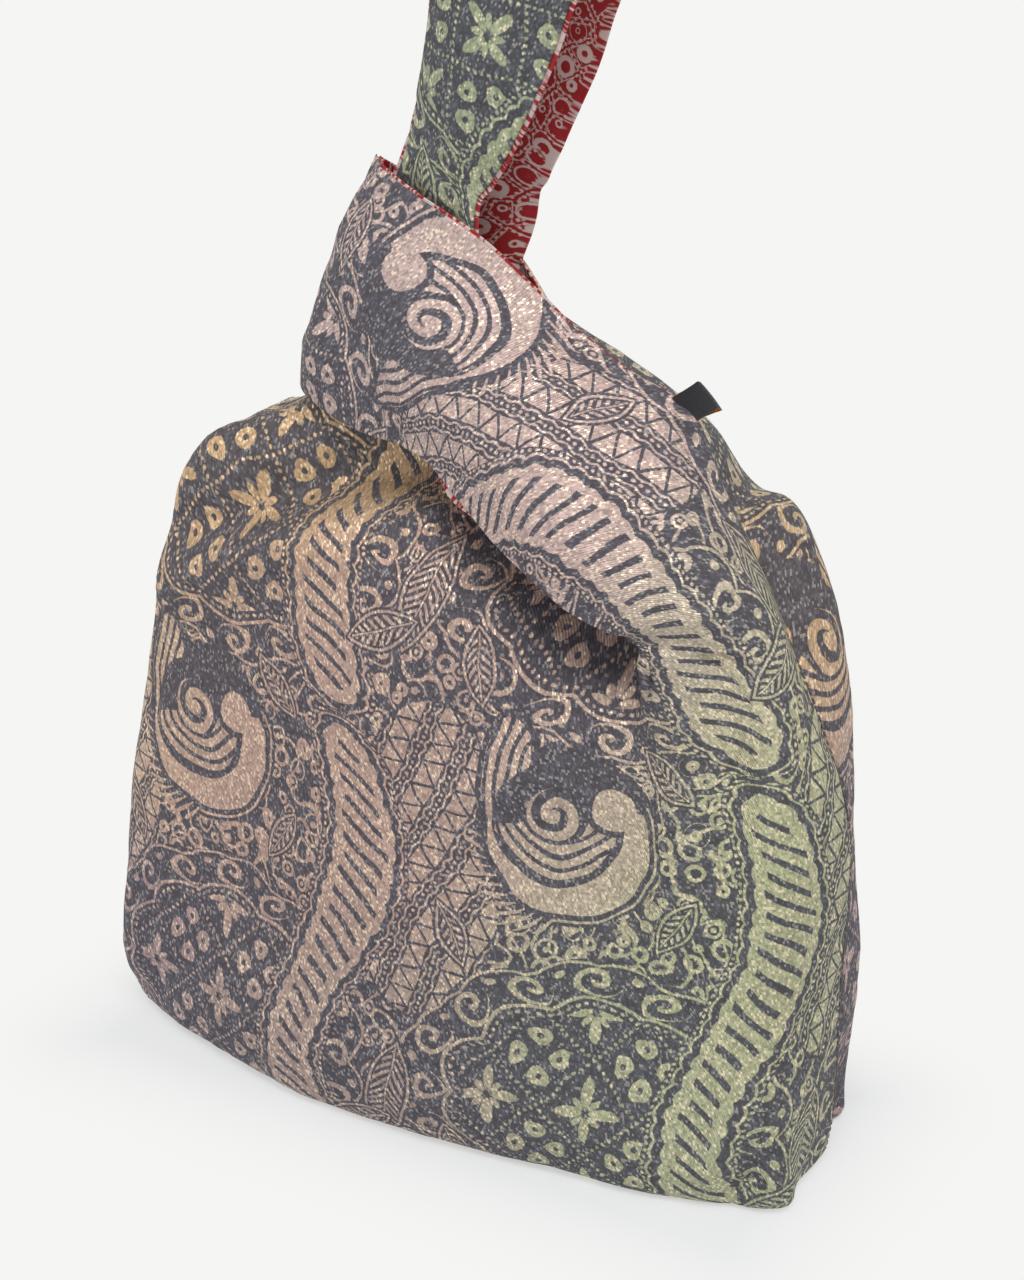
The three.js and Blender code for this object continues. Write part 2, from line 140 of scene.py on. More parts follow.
# rise, drift, spread and width of the long strap as shares, and its tilt as a share of the neck's
strapStations = [(0.085, 0.08, 0.12, 0.54, 1), (0.17, 0.22, 0.3, 0.62, 1), (0.315, 0.43, 0.6, 0.7, 0.85),
                 (0.5, 0.64, 0.84, 0.8, 0.5), (0.7, 0.83, 1, 0.92, 0.3), (0.88, 0.96, 0.83, 0.98, 0.12),
                 (0.975, 0.99, 0.4, 1, 0.05), (1, 1, 0, 1, 0)]
ribShares = (0, 0.1, 0.2, 0.4, 0.7, 1)


def bodyRib(section):
    f = bagForm
    height, leftShare, rightShare, cornerShare, bellyShare, tuckLeft, tuckRight, puffLeft, puffRight = section
    z = height * f["mouthHeight"]
    left = f["baseShift"] - f["baseWidth"] / 2 * leftShare
    right = f["baseShift"] + f["baseWidth"] / 2 * rightShare
    corner = -f["baseDepth"] / 2 * cornerShare
    belly = -f["baseDepth"] / 2 * bellyShare
    cornerLeft = left + tuckLeft
    cornerRight = right - tuckRight
    fullness = f["quarterFullness"]
    return [
        (left, 0, z), (left - puffLeft, corner / 2, z), (cornerLeft, corner, z),
        ((f["baseShift"] + cornerLeft) / 2, (belly + corner) / 2 - fullness, z), (f["baseShift"], belly, z),
        (f["mouthX"], mix(belly, corner, f["mouthX"] / cornerRight) + fullness, z), (cornerRight, corner, z),
        (right + puffRight, corner / 2, z), (right, 0, z),
    ]


def bowed(a, b, row):
    share, bow, depth = row
    along = np.array([b[0] - a[0], 0, b[2] - a[2]])
    up = np.array([-along[2], 0, along[0]]) / np.linalg.norm(along)
    if up[2] < 0:
        up = -up
    p = np.array([a[0], 0, a[2]]) + along * share + up * bow
    p[1] = -depth
    return p


def loopRibs():
    f = bagForm
    mouthBottom = np.array([f["mouthX"], -f["mouthDepth"], f["mouthHeight"]], float)
    endLow = np.array([f["loopEnd"][0], 0, f["loopEnd"][1]], float)
    endHigh = endLow + turned(f["loopTilt"]) * f["loopWidth"]
    armhole = np.array([f["armhole"][0], 0, f["armhole"][1]], float)
    ribs = []
    count = len(mouthEdge)
    for k in range(count + 1):
        low = endLow if k == count else bowed(mouthBottom, endLow, mouthEdge[k])
        high = endHigh if k == count else bowed(armhole, endHigh, armholeEdge[k])
        turn = math.radians(mix(*f["bulgeTurn"], k / count))
        out = np.array([math.cos(turn), -math.sin(turn), f["bulgeRise"]]) * mix(*f["loopCrown"], k / count)
        ribs.append([low, *[mix(low, high, share) + out for share in f["bulgeShares"]], high])
    return ribs


def shoulderRib(seam, mouth, cornerShare, cornerDepth, bellyDepth):
    def at(share, depth):
        p = mix(seam, mouth, share)
        p[1] = -depth
        return p
    puff = at(cornerShare / 2, max(cornerDepth / 2, -seam[1]))
    puff[0] -= bagForm["puffOut"] * cornerDepth
    return [seam, puff, at(cornerShare, cornerDepth), at(0.4, (cornerDepth + bellyDepth) / 2 + 1),
            at(0.7, bellyDepth), mouth]


def neckEnds():
    f = bagForm
    middle = np.array([f["neck"][0], 0, f["neck"][1]], float)
    half = direction(f["neckTilt"]) * f["neckWidth"] / 2
    return middle - half - (0, f["neckLeftDepth"], 0), middle + half - (0, f["neckRightDepth"], 0)


def shoulderRibs():
    f = bagForm
    entry = np.array([f["entry"][0], 0, f["entry"][1]], float)
    entryMouth = entry + direction(f["entrySlope"]) * f["entryWidth"]
    entryMouth[1] = -f["entryDepth"]
    across, deep, rise = f["mouthBeside"]
    mouthSide = np.array([mix(f["mouthX"], entryMouth[0], across), -deep * f["mouthDepth"],
                          mix(f["mouthHeight"], entryMouth[2], rise)])
    neckLeft, neckRight = neckEnds()
    leftShare, rightShare, deep = f["insideLoop"]
    insideLeft = mix(entry, neckLeft, leftShare)
    insideLeft[1] = -f["neckLeftDepth"]
    insideRight = mix(entryMouth, neckRight, rightShare)
    insideRight[1] = -deep * f["entryDepth"]
    shoulder = np.array([f["shoulder"][0], 0, f["shoulder"][1]], float)
    depth = f["entryDepth"]
    return [
        shoulderRib(shoulder, mouthSide, 0.02, 0.68 * f["baseDepth"] / 2, 0.8 * f["mouthDepth"]),
        shoulderRib(entry, entryMouth, 0.12, 0.5 * depth, depth),
        shoulderRib(insideLeft, insideRight, 0.15, 0.35 * depth, 0.68 * depth),
        shoulderRib(neckLeft, neckRight, 0.2, mix(f["neckLeftDepth"], f["neckRightDepth"], 0.2),
                    mix(f["neckLeftDepth"], f["neckRightDepth"], 0.7)),
    ]


def strapRibs():
    f = bagForm
    neckLeft, neckRight = neckEnds()
    neck = (neckLeft + neckRight) / 2
    twist = (f["neckRightDepth"] - f["neckLeftDepth"]) / f["neckWidth"]
    spine = [neck]
    for rise, drift, spread, _, _ in strapStations:
        x, y = f["neck"][0] + drift * f["strapDrift"], neck[1] - spread * (f["strapSpread"] + neck[1])
        spine.append(np.array([x, y, f["neck"][1] + rise * f["strapRise"]]))
    spine[-1][1] = 0
    spine = np.array(spine)
    ribs = []
    for k, (_, _, _, width, tilt) in enumerate(strapStations, 1):
        ahead, behind = smooth(spine, [min(k + 0.05, len(spine) - 1), k - 0.05])
        across = direction(f["neckTilt"] * tilt) - np.array([0, twist * tilt, 0])
        inward = np.cross(ahead - behind, across)
        inward /= np.linalg.norm(inward)
        rib = []
        for share in ribShares:
            s = 2 * share - 1
            p = spine[k] + across * s * width * f["strapWidth"] / 2 + inward * f["strapCrown"] * s * s
            rib.append(p)
        ribs.append(rib)
    for p in ribs[-1]:
        p[1] = 0
    return ribs


def clothNets():
    body = [bodyRib(s) for s in bodySections]
    f = bagForm
    body[-1][5] = (f["mouthX"], -f["mouthDepth"], f["mouthHeight"])
    left = [rib[:6] for rib in body] + shoulderRibs() + strapRibs()
    right = [rib[5:] for rib in body] + loopRibs()
    return np.array([[np.array(p, float) for p in rib] for rib in left]), \
        np.array([[np.array(p, float) for p in rib] for rib in right])


def quads(ids):
    return np.stack([ids[:-1, :-1], ids[:-1, 1:], ids[1:, 1:], ids[1:, :-1]], -1).reshape(-1, 4)


# the front half of the bag as one sheet: patches of rows and columns that share their corners
def clothSheet():
    s = clothSteps
    leftNet, rightNet = clothNets()
    mouthRow = len(bodySections) - 1
    leftCount = s["side"] + s["front"]

    def leftRow(place):
        rib = smooth(leftNet, [place])[0]
        return np.concatenate([evenSteps(rib, 0, 2, s["side"]), evenSteps(rib, 2, 5, s["front"])[1:]])

    def rightRow(place):
        rib = smooth(rightNet, [place])[0]
        return np.concatenate([evenSteps(rib, 0, 1, s["right"]), evenSteps(rib, 1, 3, s["side"])[1:]])

    bodyPlaces = np.linspace(0, mouthRow, s["body"] + 1)
    body = np.array([np.concatenate([leftRow(p), rightRow(p)[1:]]) for p in bodyPlaces])
    entryRow, neckRow = mouthRow + 2, mouthRow + 4
    upPlaces = np.concatenate([np.linspace(mouthRow, entryRow, s["shoulder"] + 1)[1:],
                               np.linspace(entryRow, neckRow, s["root"] + 1)[1:],
                               np.linspace(neckRow, len(leftNet) - 1, s["strap"] + 1)[1:]])
    up = np.array([leftRow(p) for p in upPlaces])
    loopPlaces = np.linspace(mouthRow, len(rightNet) - 1, s["loop"] + 1)[1:]
    loop = np.array([rightRow(p) for p in loopPlaces])

    # soft fold along the bottom edge
    radius, straight, turn = (bagForm[name] for name in ("edgeRadius", "edgeStraight", "edgeTurn"))
    centre = np.array([bagForm["baseShift"], 0.0])
    for row in body:
        z = row[0, 2]
        if z < radius:
            inset = radius - math.sqrt(radius**2 - (radius - z)**2)
            away = row[:, :2] - centre
            away[:, 0] = np.sign(away[:, 0]) * np.clip(np.abs(away[:, 0]) - straight, 0, None) * turn
            size = np.linalg.norm(away, axis=1, keepdims=True)
            row[:, :2] -= away / np.maximum(size, 1e-6) * inset * np.minimum(size, 1)

    points = [body.reshape(-1, 3)]
    bodyIds = np.arange(body.shape[0] * body.shape[1]).reshape(body.shape[:2])
    total = bodyIds.size

    def addPatch(rows, first):
        nonlocal total
        ids = np.arange(total, total + rows.shape[0] * rows.shape[1]).reshape(rows.shape[:2])
        points.append(rows.reshape(-1, 3))
        total += ids.size
        return ids if first is None else np.concatenate([first[None], ids])

    upIds = addPatch(up, bodyIds[-1, :leftCount + 1])
    loopIds = addPatch(loop, bodyIds[-1, leftCount:])
    edge = body[0, s["side"]:-s["side"]]
    shares = np.linspace(1, 0, s["base"] + 1)[1:]
    base = np.array([edge * np.array([1, share, 0]) for share in shares])
    baseIds = addPatch(base, bodyIds[0, s["side"]:-s["side"]])
    patches = {"body": bodyIds, "up": upIds, "loop": loopIds, "base": baseIds}
    return np.concatenate(points), patches, np.concatenate([[mouthRow], upPlaces])


def patchFaces(patches):
    faces = {name: quads(ids) for name, ids in patches.items()}
    faces["base"] = faces["base"][:, ::-1]
    return faces


def vertexNormals(points, faces):
    a, b, c, d = (points[faces[:, k]] for k in range(4))
    n = np.cross(c - a, d - b)
    total = np.zeros_like(points)
    for k in range(4):
        np.add.at(total, faces[:, k], n)
    return unit(total)


# lays the sheet out flat with Blender's own unwrap on every fourth line, and scales it to real size
def flatPattern(points, patches):
    every = clothSteps["flatEvery"]
    coarse = {name: ids[::every, ::every] for name, ids in patches.items()}
    used = np.unique(np.concatenate([ids.ravel() for ids in coarse.values()]))
    index = {v: i for i, v in enumerate(used)}
    mesh = bpy.data.meshes.new("flat_pattern")
    faces = []
    for name, ids in coarse.items():
        q = quads(ids) if name != "base" else quads(ids)[:, ::-1]
        faces += [[index[v] for v in face] for face in q]
    mesh.from_pydata([tuple(p) for p in points[used] * mm], [], faces)
    mesh.uv_layers.new(name="print")
    flat = placed("flat_pattern", mesh)
    bpy.context.view_layer.objects.active = flat
    flat.select_set(True)
    bpy.ops.object.mode_set(mode="EDIT")
    bpy.ops.mesh.select_all(action="SELECT")
    bpy.ops.uv.unwrap(method="MINIMUM_STRETCH", fill_holes=False, no_flip=True, iterations=40, margin=0)
    bpy.ops.object.mode_set(mode="OBJECT")
    uv = np.zeros((len(used), 2))
    for loop, item in zip(mesh.loops, mesh.uv_layers[0].data):
        uv[loop.vertex_index] = item.uv
    bpy.data.objects.remove(flat)
    bpy.data.meshes.remove(mesh)
    # turn and scale the flat cloth onto the upright front of the body
    anchor = coarse["body"][2:, clothSteps["side"] // every:-clothSteps["side"] // every].ravel()
    source = uv[[index[v] for v in anchor]]
    goal = points[anchor][:, [0, 2]]
    a = (source - source.mean(0)) @ np.array([1, 1j])
    b = (goal - goal.mean(0)) @ np.array([1, 1j])
    straight, mirrored = np.vdot(a, b), np.vdot(a.conj(), b)
    z = (uv - source.mean(0)) @ np.array([1, 1j])
    if abs(mirrored) > abs(straight):
        z, a, straight = z.conj(), a.conj(), mirrored
    z = z * straight / np.vdot(a, a)
    laid = np.stack([z.real, z.imag], -1) + goal.mean(0)
    result = np.zeros((len(points), 2))
    for name, ids in patches.items():
        grid = laid[[index[v] for v in coarse[name].ravel()]].reshape(*coarse[name].shape, 2)
        rows, columns = ids.shape
        across = np.stack([[np.interp(np.arange(columns), np.arange(0, columns, every), line[:, k])
                            for k in range(2)] for line in grid])
        full = np.empty((rows, columns, 2))
        for k in range(2):
            for j in range(columns):
                full[:, j, k] = np.interp(np.arange(rows), np.arange(0, rows, every), across[:, k, j])
        result[ids.ravel()] = full.reshape(-1, 2)
    return result


print("cloth: laying out the sheet")
sheetPoints, sheetPatches, upPlaces = clothSheet()
sheetFaces = patchFaces(sheetPatches)
printMap = flatPattern(sheetPoints, sheetPatches)
upIds = sheetPatches["up"]
rootRow, neckRow = (int(np.argmin(np.abs(upPlaces - place))) for place in splitPlaces.values())

# where the cloth stands off the pattern's smooth form, in millimetres: side, part of the cloth, place in x
# and z, how far the move is felt, and the move; a move on both sides takes the seam along
pulls = [
    ("both", "all", (-98, 236), 24, (-5.5, 0, 7.5)),
    ("both", "all", (-62, 262), 16, (-3, 0, 3)),
    ("both", "all", (-42, 341), 14, (-3, 0, 0)),
    ("front", "all", (34, 0), 80, (0, -15, 0)),
    ("front", "all", (-66, 0), 52, (0, -12.5, 0)),
    ("front", "all", (88, 0), 32, (0, -8, 0)),
    ("front", "armhole", (75, 269), 17, (2.7, 0.3, 3.3)),
    ("back", "all", (86, 246), 12, (-1, 0, -9)),
    ("back", "all", (105, 232), 10, (1, 0, 3)),
    ("front", "hollow", (62, 208), 26, (0, 31, 7)),
    ("front", "hollow", (76, 190), 13, (0, 9, 0)),
    ("front", "hollow", (28, 230), 24, (0, 9, 3)),
    ("back", "loop", (50, 224), 24, (0, -1, -4)),
    ("front", "loop", (52, 226), 22, (0, -6, 5)),
    ("front", "loop", (6, 244), 26, (0, 0, 4.5)),
    ("back", "all", (138, 118), 46, (-6, 3, 0)),
    ("back", "all", (134, 8), 36, (-9, 7, 0)),
    ("back", "all", (-20, 10), 90, (0, -5, 0)),
    ("front", "strap", (-18, 362), 42, (-4, 0, 0)),
    ("back", "strap", (16, 326), 19, (11, -3, 0)),
    ("back", "strap", (44, 398), 27, (-4.5, 0, 0)),
    ("both", "strap", (24, 440), 60, (-4, 0, 0)),
]
# the steep side of the hollow under the loop's edge, how near the side seams a pull on one side fades, and
# how soon an armhole's pull sets in along its edge
pullLimits = {"hollowWall": 6, "seamFade": 6, "edgeStart": 4}
# how far the edge of each armhole hangs below the smooth form, how deep into the cloth that is felt, and how
# round the hanging edge is
armholeSag = {"front": 4.05, "back": 13.5, "reach": 22, "roundness": 1.4}
# folds pressed into the cloth, in millimetres: part of the cloth, width, height out of it, path in x and z
folds = {
    "front": [
        ("body", 9, -8, [(-116, 200), (-95, 211), (-58, 228), (-21, 240), (6, 246)]),
        ("body", 11, 5.5, [(-128, 176), (-95, 192), (-58, 208), (-21, 220), (14, 220)]),
        ("body", 15, -4, [(-6, 234), (12, 224), (34, 211), (54, 203), (70, 195), (79, 188)]),
        ("body", 9, 4, [(88, 204), (94, 176), (98, 140), (96, 90)]),
        ("body", 8, -4, [(104, 225), (112, 190), (118, 150), (120, 110)]),
        ("body", 15, 2.2, [(70, 178), (40, 150), (10, 118)]),
        ("body", 12, -2, [(50, 176), (14, 150), (-24, 132)]),
        ("body", 14, -2.2, [(-60, 140), (-72, 90), (-66, 44)]),
        ("body", 12, 1.8, [(-110, 160), (-118, 110), (-112, 60)]),
        ("body", 6, 3, [(112, 8), (124, 26), (132, 60)]),
        ("body", 4.5, -4.5, [(122, 2), (134, 14), (139, 34)]),
        ("body", 8, -3, [(-138, 4), (-122, 20), (-100, 30)]),
        ("loop", 8, -2.4, [(-62, 296), (-42, 284), (-18, 262)]),
        ("loop", 12, 2, [(-52, 322), (-20, 300), (14, 268)]),
        ("loop", 8, -3.4, [(92, 214), (82, 240), (66, 262)]),
        ("loop", 12, 2.4, [(72, 216), (52, 246), (20, 276)]),
        ("loop", 6, 2.4, [(98, 226), (90, 244), (86, 262)]),
    ],
    "back": [
        ("body", 10, -5, [(-130, 190), (-90, 208), (-50, 222), (-10, 228)]),
        ("body", 12, 3.6, [(-126, 168), (-80, 188), (-30, 200), (14, 204)]),
        ("body", 10, -3.6, [(96, 208), (106, 165), (112, 110)]),
        ("body", 14, 2.6, [(76, 172), (52, 120), (58, 60)]),
        ("body", 15, -2.4, [(-70, 150), (-84, 100), (-80, 44)]),
        ("body", 18, -1.8, [(0, 190), (-20, 130), (-8, 80)]),
        ("body", 8, -4, [(118, 8), (128, 30), (134, 70)]),
        ("loop", 11, -2.6, [(-52, 310), (-20, 292), (24, 262)]),
        ("loop", 12, 2.4, [(82, 214), (60, 244), (24, 272)]),
    ],
}
foldLine = {"steps": 40, "taper": 0.6}
# sizes and heights of the crumpling, and its own along the side seams
crinkle = {"sizes": [(6, 0.22), (17, 0.6), (48, 1.6)], "seeds": {"front": 3, "back": 17},
           "seamSize": 12, "seamHeight": 1.5, "seamReach": 11, "hushed": 2.5}


def foldHeights(points, regions, side):
    height = np.zeros(len(points))
    for part, width, rise, path in folds[side]:
        ids = regions[part]
        line = smooth(path, np.linspace(0, len(path) - 1, foldLine["steps"]))
        distance = np.linalg.norm(points[ids][:, [0, 2]][:, None] - line[None], axis=2)
        taper = np.sin(np.pi * (distance.argmin(1) + 0.5) / len(line)) ** foldLine["taper"]
        height[ids] += rise * taper * bell(distance.min(1), width)
    return height


def unevenness(points, size, offset):
    shift = Vector((1, 2, 3)) * offset
    return np.array([noise.noise(Vector(p) / size + shift) for p in points])


def pulled(points, side):
    result = points.copy()
    up = sheetPatches["up"]
    loop = sheetPatches["loop"][1:]
    along = np.sin(np.pi * np.linspace(0, 1, len(loop)))[:, None] ** armholeSag["roundness"]
    nearArmhole = bell(np.linalg.norm(points[loop] - points[loop[:, -1:]], axis=2), armholeSag["reach"])
    reached = {name: np.zeros(len(points)) for name in ("loop", "armhole", "strap")}
    reached["all"] = 1 - bell(points[:, 1], pullLimits["seamFade"])
    inFront = np.clip((bagForm["mouthX"] - points[:, 0]) / pullLimits["hollowWall"], 0, 1)
    reached["hollow"] = inFront * reached["all"]
    reached["hollow"][sheetPatches["loop"]] = 0
    reached["loop"][loop] = reached["all"][loop]
    reached["armhole"][loop] = np.minimum(along * pullLimits["edgeStart"], 1) * nearArmhole
    reached["strap"][up[rootRow:]] = 1
    for on, part, at, reach, move in pulls:
        if on not in ("both", side):
            continue
        weight = bell(np.linalg.norm(points[:, [0, 2]] - at, axis=1), reach)
        if on != "both" or part != "all":
            weight = weight * reached[part]
        result += weight[:, None] * move
    sag = armholeSag[side] * along * nearArmhole
    result[loop] -= sag[:, :, None] * turned(bagForm["loopTilt"])
    return result


# one side of the bag with its folds pressed in: the outer face, and the way out of it at every point
def foldedSheet(side):
    faces = np.concatenate(list(sheetFaces.values()))
    points = pulled(sheetPoints, side)
    normals = vertexNormals(points, faces)
    regions = {
        "body": np.concatenate([sheetPatches["body"].ravel(), sheetPatches["up"][1:].ravel()]),
        "loop": sheetPatches["loop"][1:].ravel(),
    }
    seed = crinkle["seeds"][side]
    height = foldHeights(points, regions, side)
    for size, amount in crinkle["sizes"]:
        height += amount * unevenness(points, size, seed + size)
    nearSeam = bell(points[:, 1], crinkle["seamReach"])
    height += crinkle["seamHeight"] * nearSeam * unevenness(points, crinkle["seamSize"], seed)
    height *= 1 - bell(points[:, 1], crinkle["hushed"])
    height[sheetPatches["base"].ravel()] = 0
    points += normals * height[:, None]
    points[:, 2] = np.maximum(points[:, 2], 0)
    normals = vertexNormals(points, faces)
    outward = normals.copy()
    outward[sheetSeam["plane"], 1] = 0
    outward = unit(outward)
    atSeam = sheetSeam["plane"] | sheetSeam["corner"]
    points[atSeam] -= outward[atSeam] * layers["seamGroove"]
    points[:, 1] = np.minimum(points[:, 1], -layers["seamGap"])
    return points, outward, normals


def sheetSeams():
    plane = np.abs(sheetPoints[:, 1]) < layers["seamNear"]
    corner = np.zeros(len(sheetPoints), bool)
    side = clothSteps["side"]
    corner[sheetPatches["body"][0, :side + 1]] = True
    corner[sheetPatches["body"][0, -side - 1:]] = True
    corner[sheetPatches["base"][1:, 0]] = True
    corner[sheetPatches["base"][1:, -1]] = True
    return {"plane": plane, "corner": corner}


def openEdges():
    edges = {(int(a), int(b)) for face in np.concatenate(list(sheetFaces.values()))
             for a, b in zip(face, np.roll(face, -1))}
    single = np.unique(np.array([edge for edge in edges if edge[::-1] not in edges]))
    free = np.zeros(len(sheetPoints), bool)
    free[single] = True
    return free & ~sheetSeam["plane"] & ~sheetSeam["corner"]


def liningPeek():
    peek = np.tile(np.array(layers["mouthPeek"], float), (len(sheetPoints), 1))
    slipped = np.linalg.norm(sheetPoints[:, [0, 2]] - layers["slipAt"], axis=1)
    peek += bell(slipped, layers["slipReach"])[:, None] * layers["slip"]
    peek[sheetPatches["loop"][:, -1]] = layers["armholePeek"]
    peek[upIds[neckRow - layers["strapPeekRows"]:]] = layers["strapPeek"]
    return peek


sheetSeam = sheetSeams()
freeEdge = openEdges()


# a smooth mesh with its places on the flat cloth
def clothMesh(name, points, faces, flat, material):
    mesh = bpy.data.meshes.new(name)
    mesh.from_pydata(points.tolist(), [], faces)
    mesh.polygons.foreach_set("use_smooth", np.ones(len(mesh.polygons), bool))
    corner = np.array([v for face in faces for v in face])
    mesh.uv_layers.new(name="print").data.foreach_set("uv", (flat[corner] * mm).astype(np.float32).ravel())
    mesh.materials.append(material)
    return mesh


backPrintShift = (61, -47)  # the back is cut from another place of the printed cloth


# a closed layer of cloth between two depths: open edges are rolled round, the cut ones left square
def clothLayer(name, faces, depths, side, peek, material):
    outer, outward, normals = sheets[side]
    top, bottom = depths
    used = np.unique(faces)
    count = len(used)
    index = np.full(len(outer), -1)
    index[used] = np.arange(count)
    local = index[faces]
    upper = outer[used] - outward[used] * top
    lower = outer[used] - outward[used] * bottom
    edges = {(int(a), int(b)) for face in local for a, b in zip(face, np.roll(face, -1))}
    rim = [(a, b) for a, b in sorted(edges) if (b, a) not in edges]
    away = np.zeros((count, 3))
    for a, b in rim:
        out = np.cross(upper[b] - upper[a], outward[used[a]])
        away[a] += out
        away[b] += out
    rims = np.unique(np.array(rim))
    away = unit(away[rims])
    free = freeEdge[used[rims]][:, None]
    roll = away * peek[used[rims], :1] + outward[used[rims]] * peek[used[rims], 1:]
    for face in (upper, lower):
        face[rims] += roll * free
        face[:, 1] = np.minimum(face[:, 1], -layers["seamGap"])
    rimPlace = np.full(count, -1)
    rimPlace[rims] = np.arange(len(rims))
    rings = layers["edgeRings"]
    middle = (upper[rims] + lower[rims]) / 2
    half = (upper[rims] - lower[rims]) / 2
    bulge = np.linalg.norm(half, axis=1, keepdims=True) * free
    ringPoints = []
    for k in range(1, rings + 1):
        turn = math.pi * k / (rings + 1)
        ringPoints.append(middle + half * math.cos(turn) + away * bulge * math.sin(turn))

    def ringAt(k, v):
        if k == 0:
            return v
        if k == rings + 1:
            return count + v
        return 2 * count + (k - 1) * len(rims) + rimPlace[v]

    rimFaces = [(ringAt(k, b), ringAt(k, a), ringAt(k + 1, a), ringAt(k + 1, b))
                for a, b in rim for k in range(rings + 1)]
    allFaces = np.concatenate([local, local[:, ::-1] + count, np.array(rimFaces)])
    points = np.concatenate([upper, lower, *ringPoints]) * mm
    smoothWay = np.concatenate([normals[used], -normals[used]])
    points[:, 1] *= signs[side]
    smoothWay[:, 1] *= signs[side]
    if side == "back":
        allFaces = allFaces[:, ::-1]
    flat = np.concatenate([printMap[used], printMap[used], *[printMap[used[rims]]] * rings])
    shift = np.array(backPrintShift if side == "back" else (0, 0))
    mesh = clothMesh(name, points, allFaces.tolist(), flat + shift, material)
    if material is brocade:
        dye = np.concatenate([dyeColours(flat, side), np.ones((len(flat), 1))], 1)
        tint = mesh.color_attributes.new("tint", "FLOAT_COLOR", "POINT")
        tint.data.foreach_set("color", dye.astype(np.float32).ravel())
    # the cloth's own smooth normals on its faces, so that a cut border shows no line
    mesh.update()
    corner = allFaces.ravel()
    found = np.zeros(3 * len(corner), np.float32)
    mesh.corner_normals.foreach_get("vector", found)
    found = found.reshape(-1, 3)
    onFace = np.repeat(np.arange(len(allFaces)) < 2 * len(local), 4)
    found[onFace] = smoothWay[corner[onFace]]
    mesh.normals_split_custom_set(found.tolist())
    return placed(name, mesh)


# a wire is one socket of a node tree, and sums written with wires add the Math nodes
class Wire:
    def __init__(self, pen, socket):
        self.pen = pen
        self.socket = socket

    def __add__(self, other):
        return self.pen.sum("ADD", self, other)

    def __radd__(self, other):
        return self.pen.sum("ADD", other, self)

    def __sub__(self, other):
        return self.pen.sum("SUBTRACT", self, other)

    def __rsub__(self, other):
        return self.pen.sum("SUBTRACT", other, self)

    def __mul__(self, other):
        return self.pen.sum("MULTIPLY", self, other)

    def __rmul__(self, other):
        return self.pen.sum("MULTIPLY", other, self)

    def __truediv__(self, other):
        return self.pen.sum("DIVIDE", self, other)

    def __rtruediv__(self, other):
        return self.pen.sum("DIVIDE", other, self)

    def __gt__(self, other):
        return self.pen.sum("GREATER_THAN", self, other)

    def __neg__(self):
        return self.pen.sum("SUBTRACT", 0, self)

    def size(self):
        return self.pen.sum("ABSOLUTE", self)

    def wave(self):
        return self.pen.sum("SINE", self)

    def floor(self):
        return self.pen.sum("FLOOR", self)

    def wrapped(self, period):
        return self.pen.sum("WRAP", self, period / 2, -period / 2)


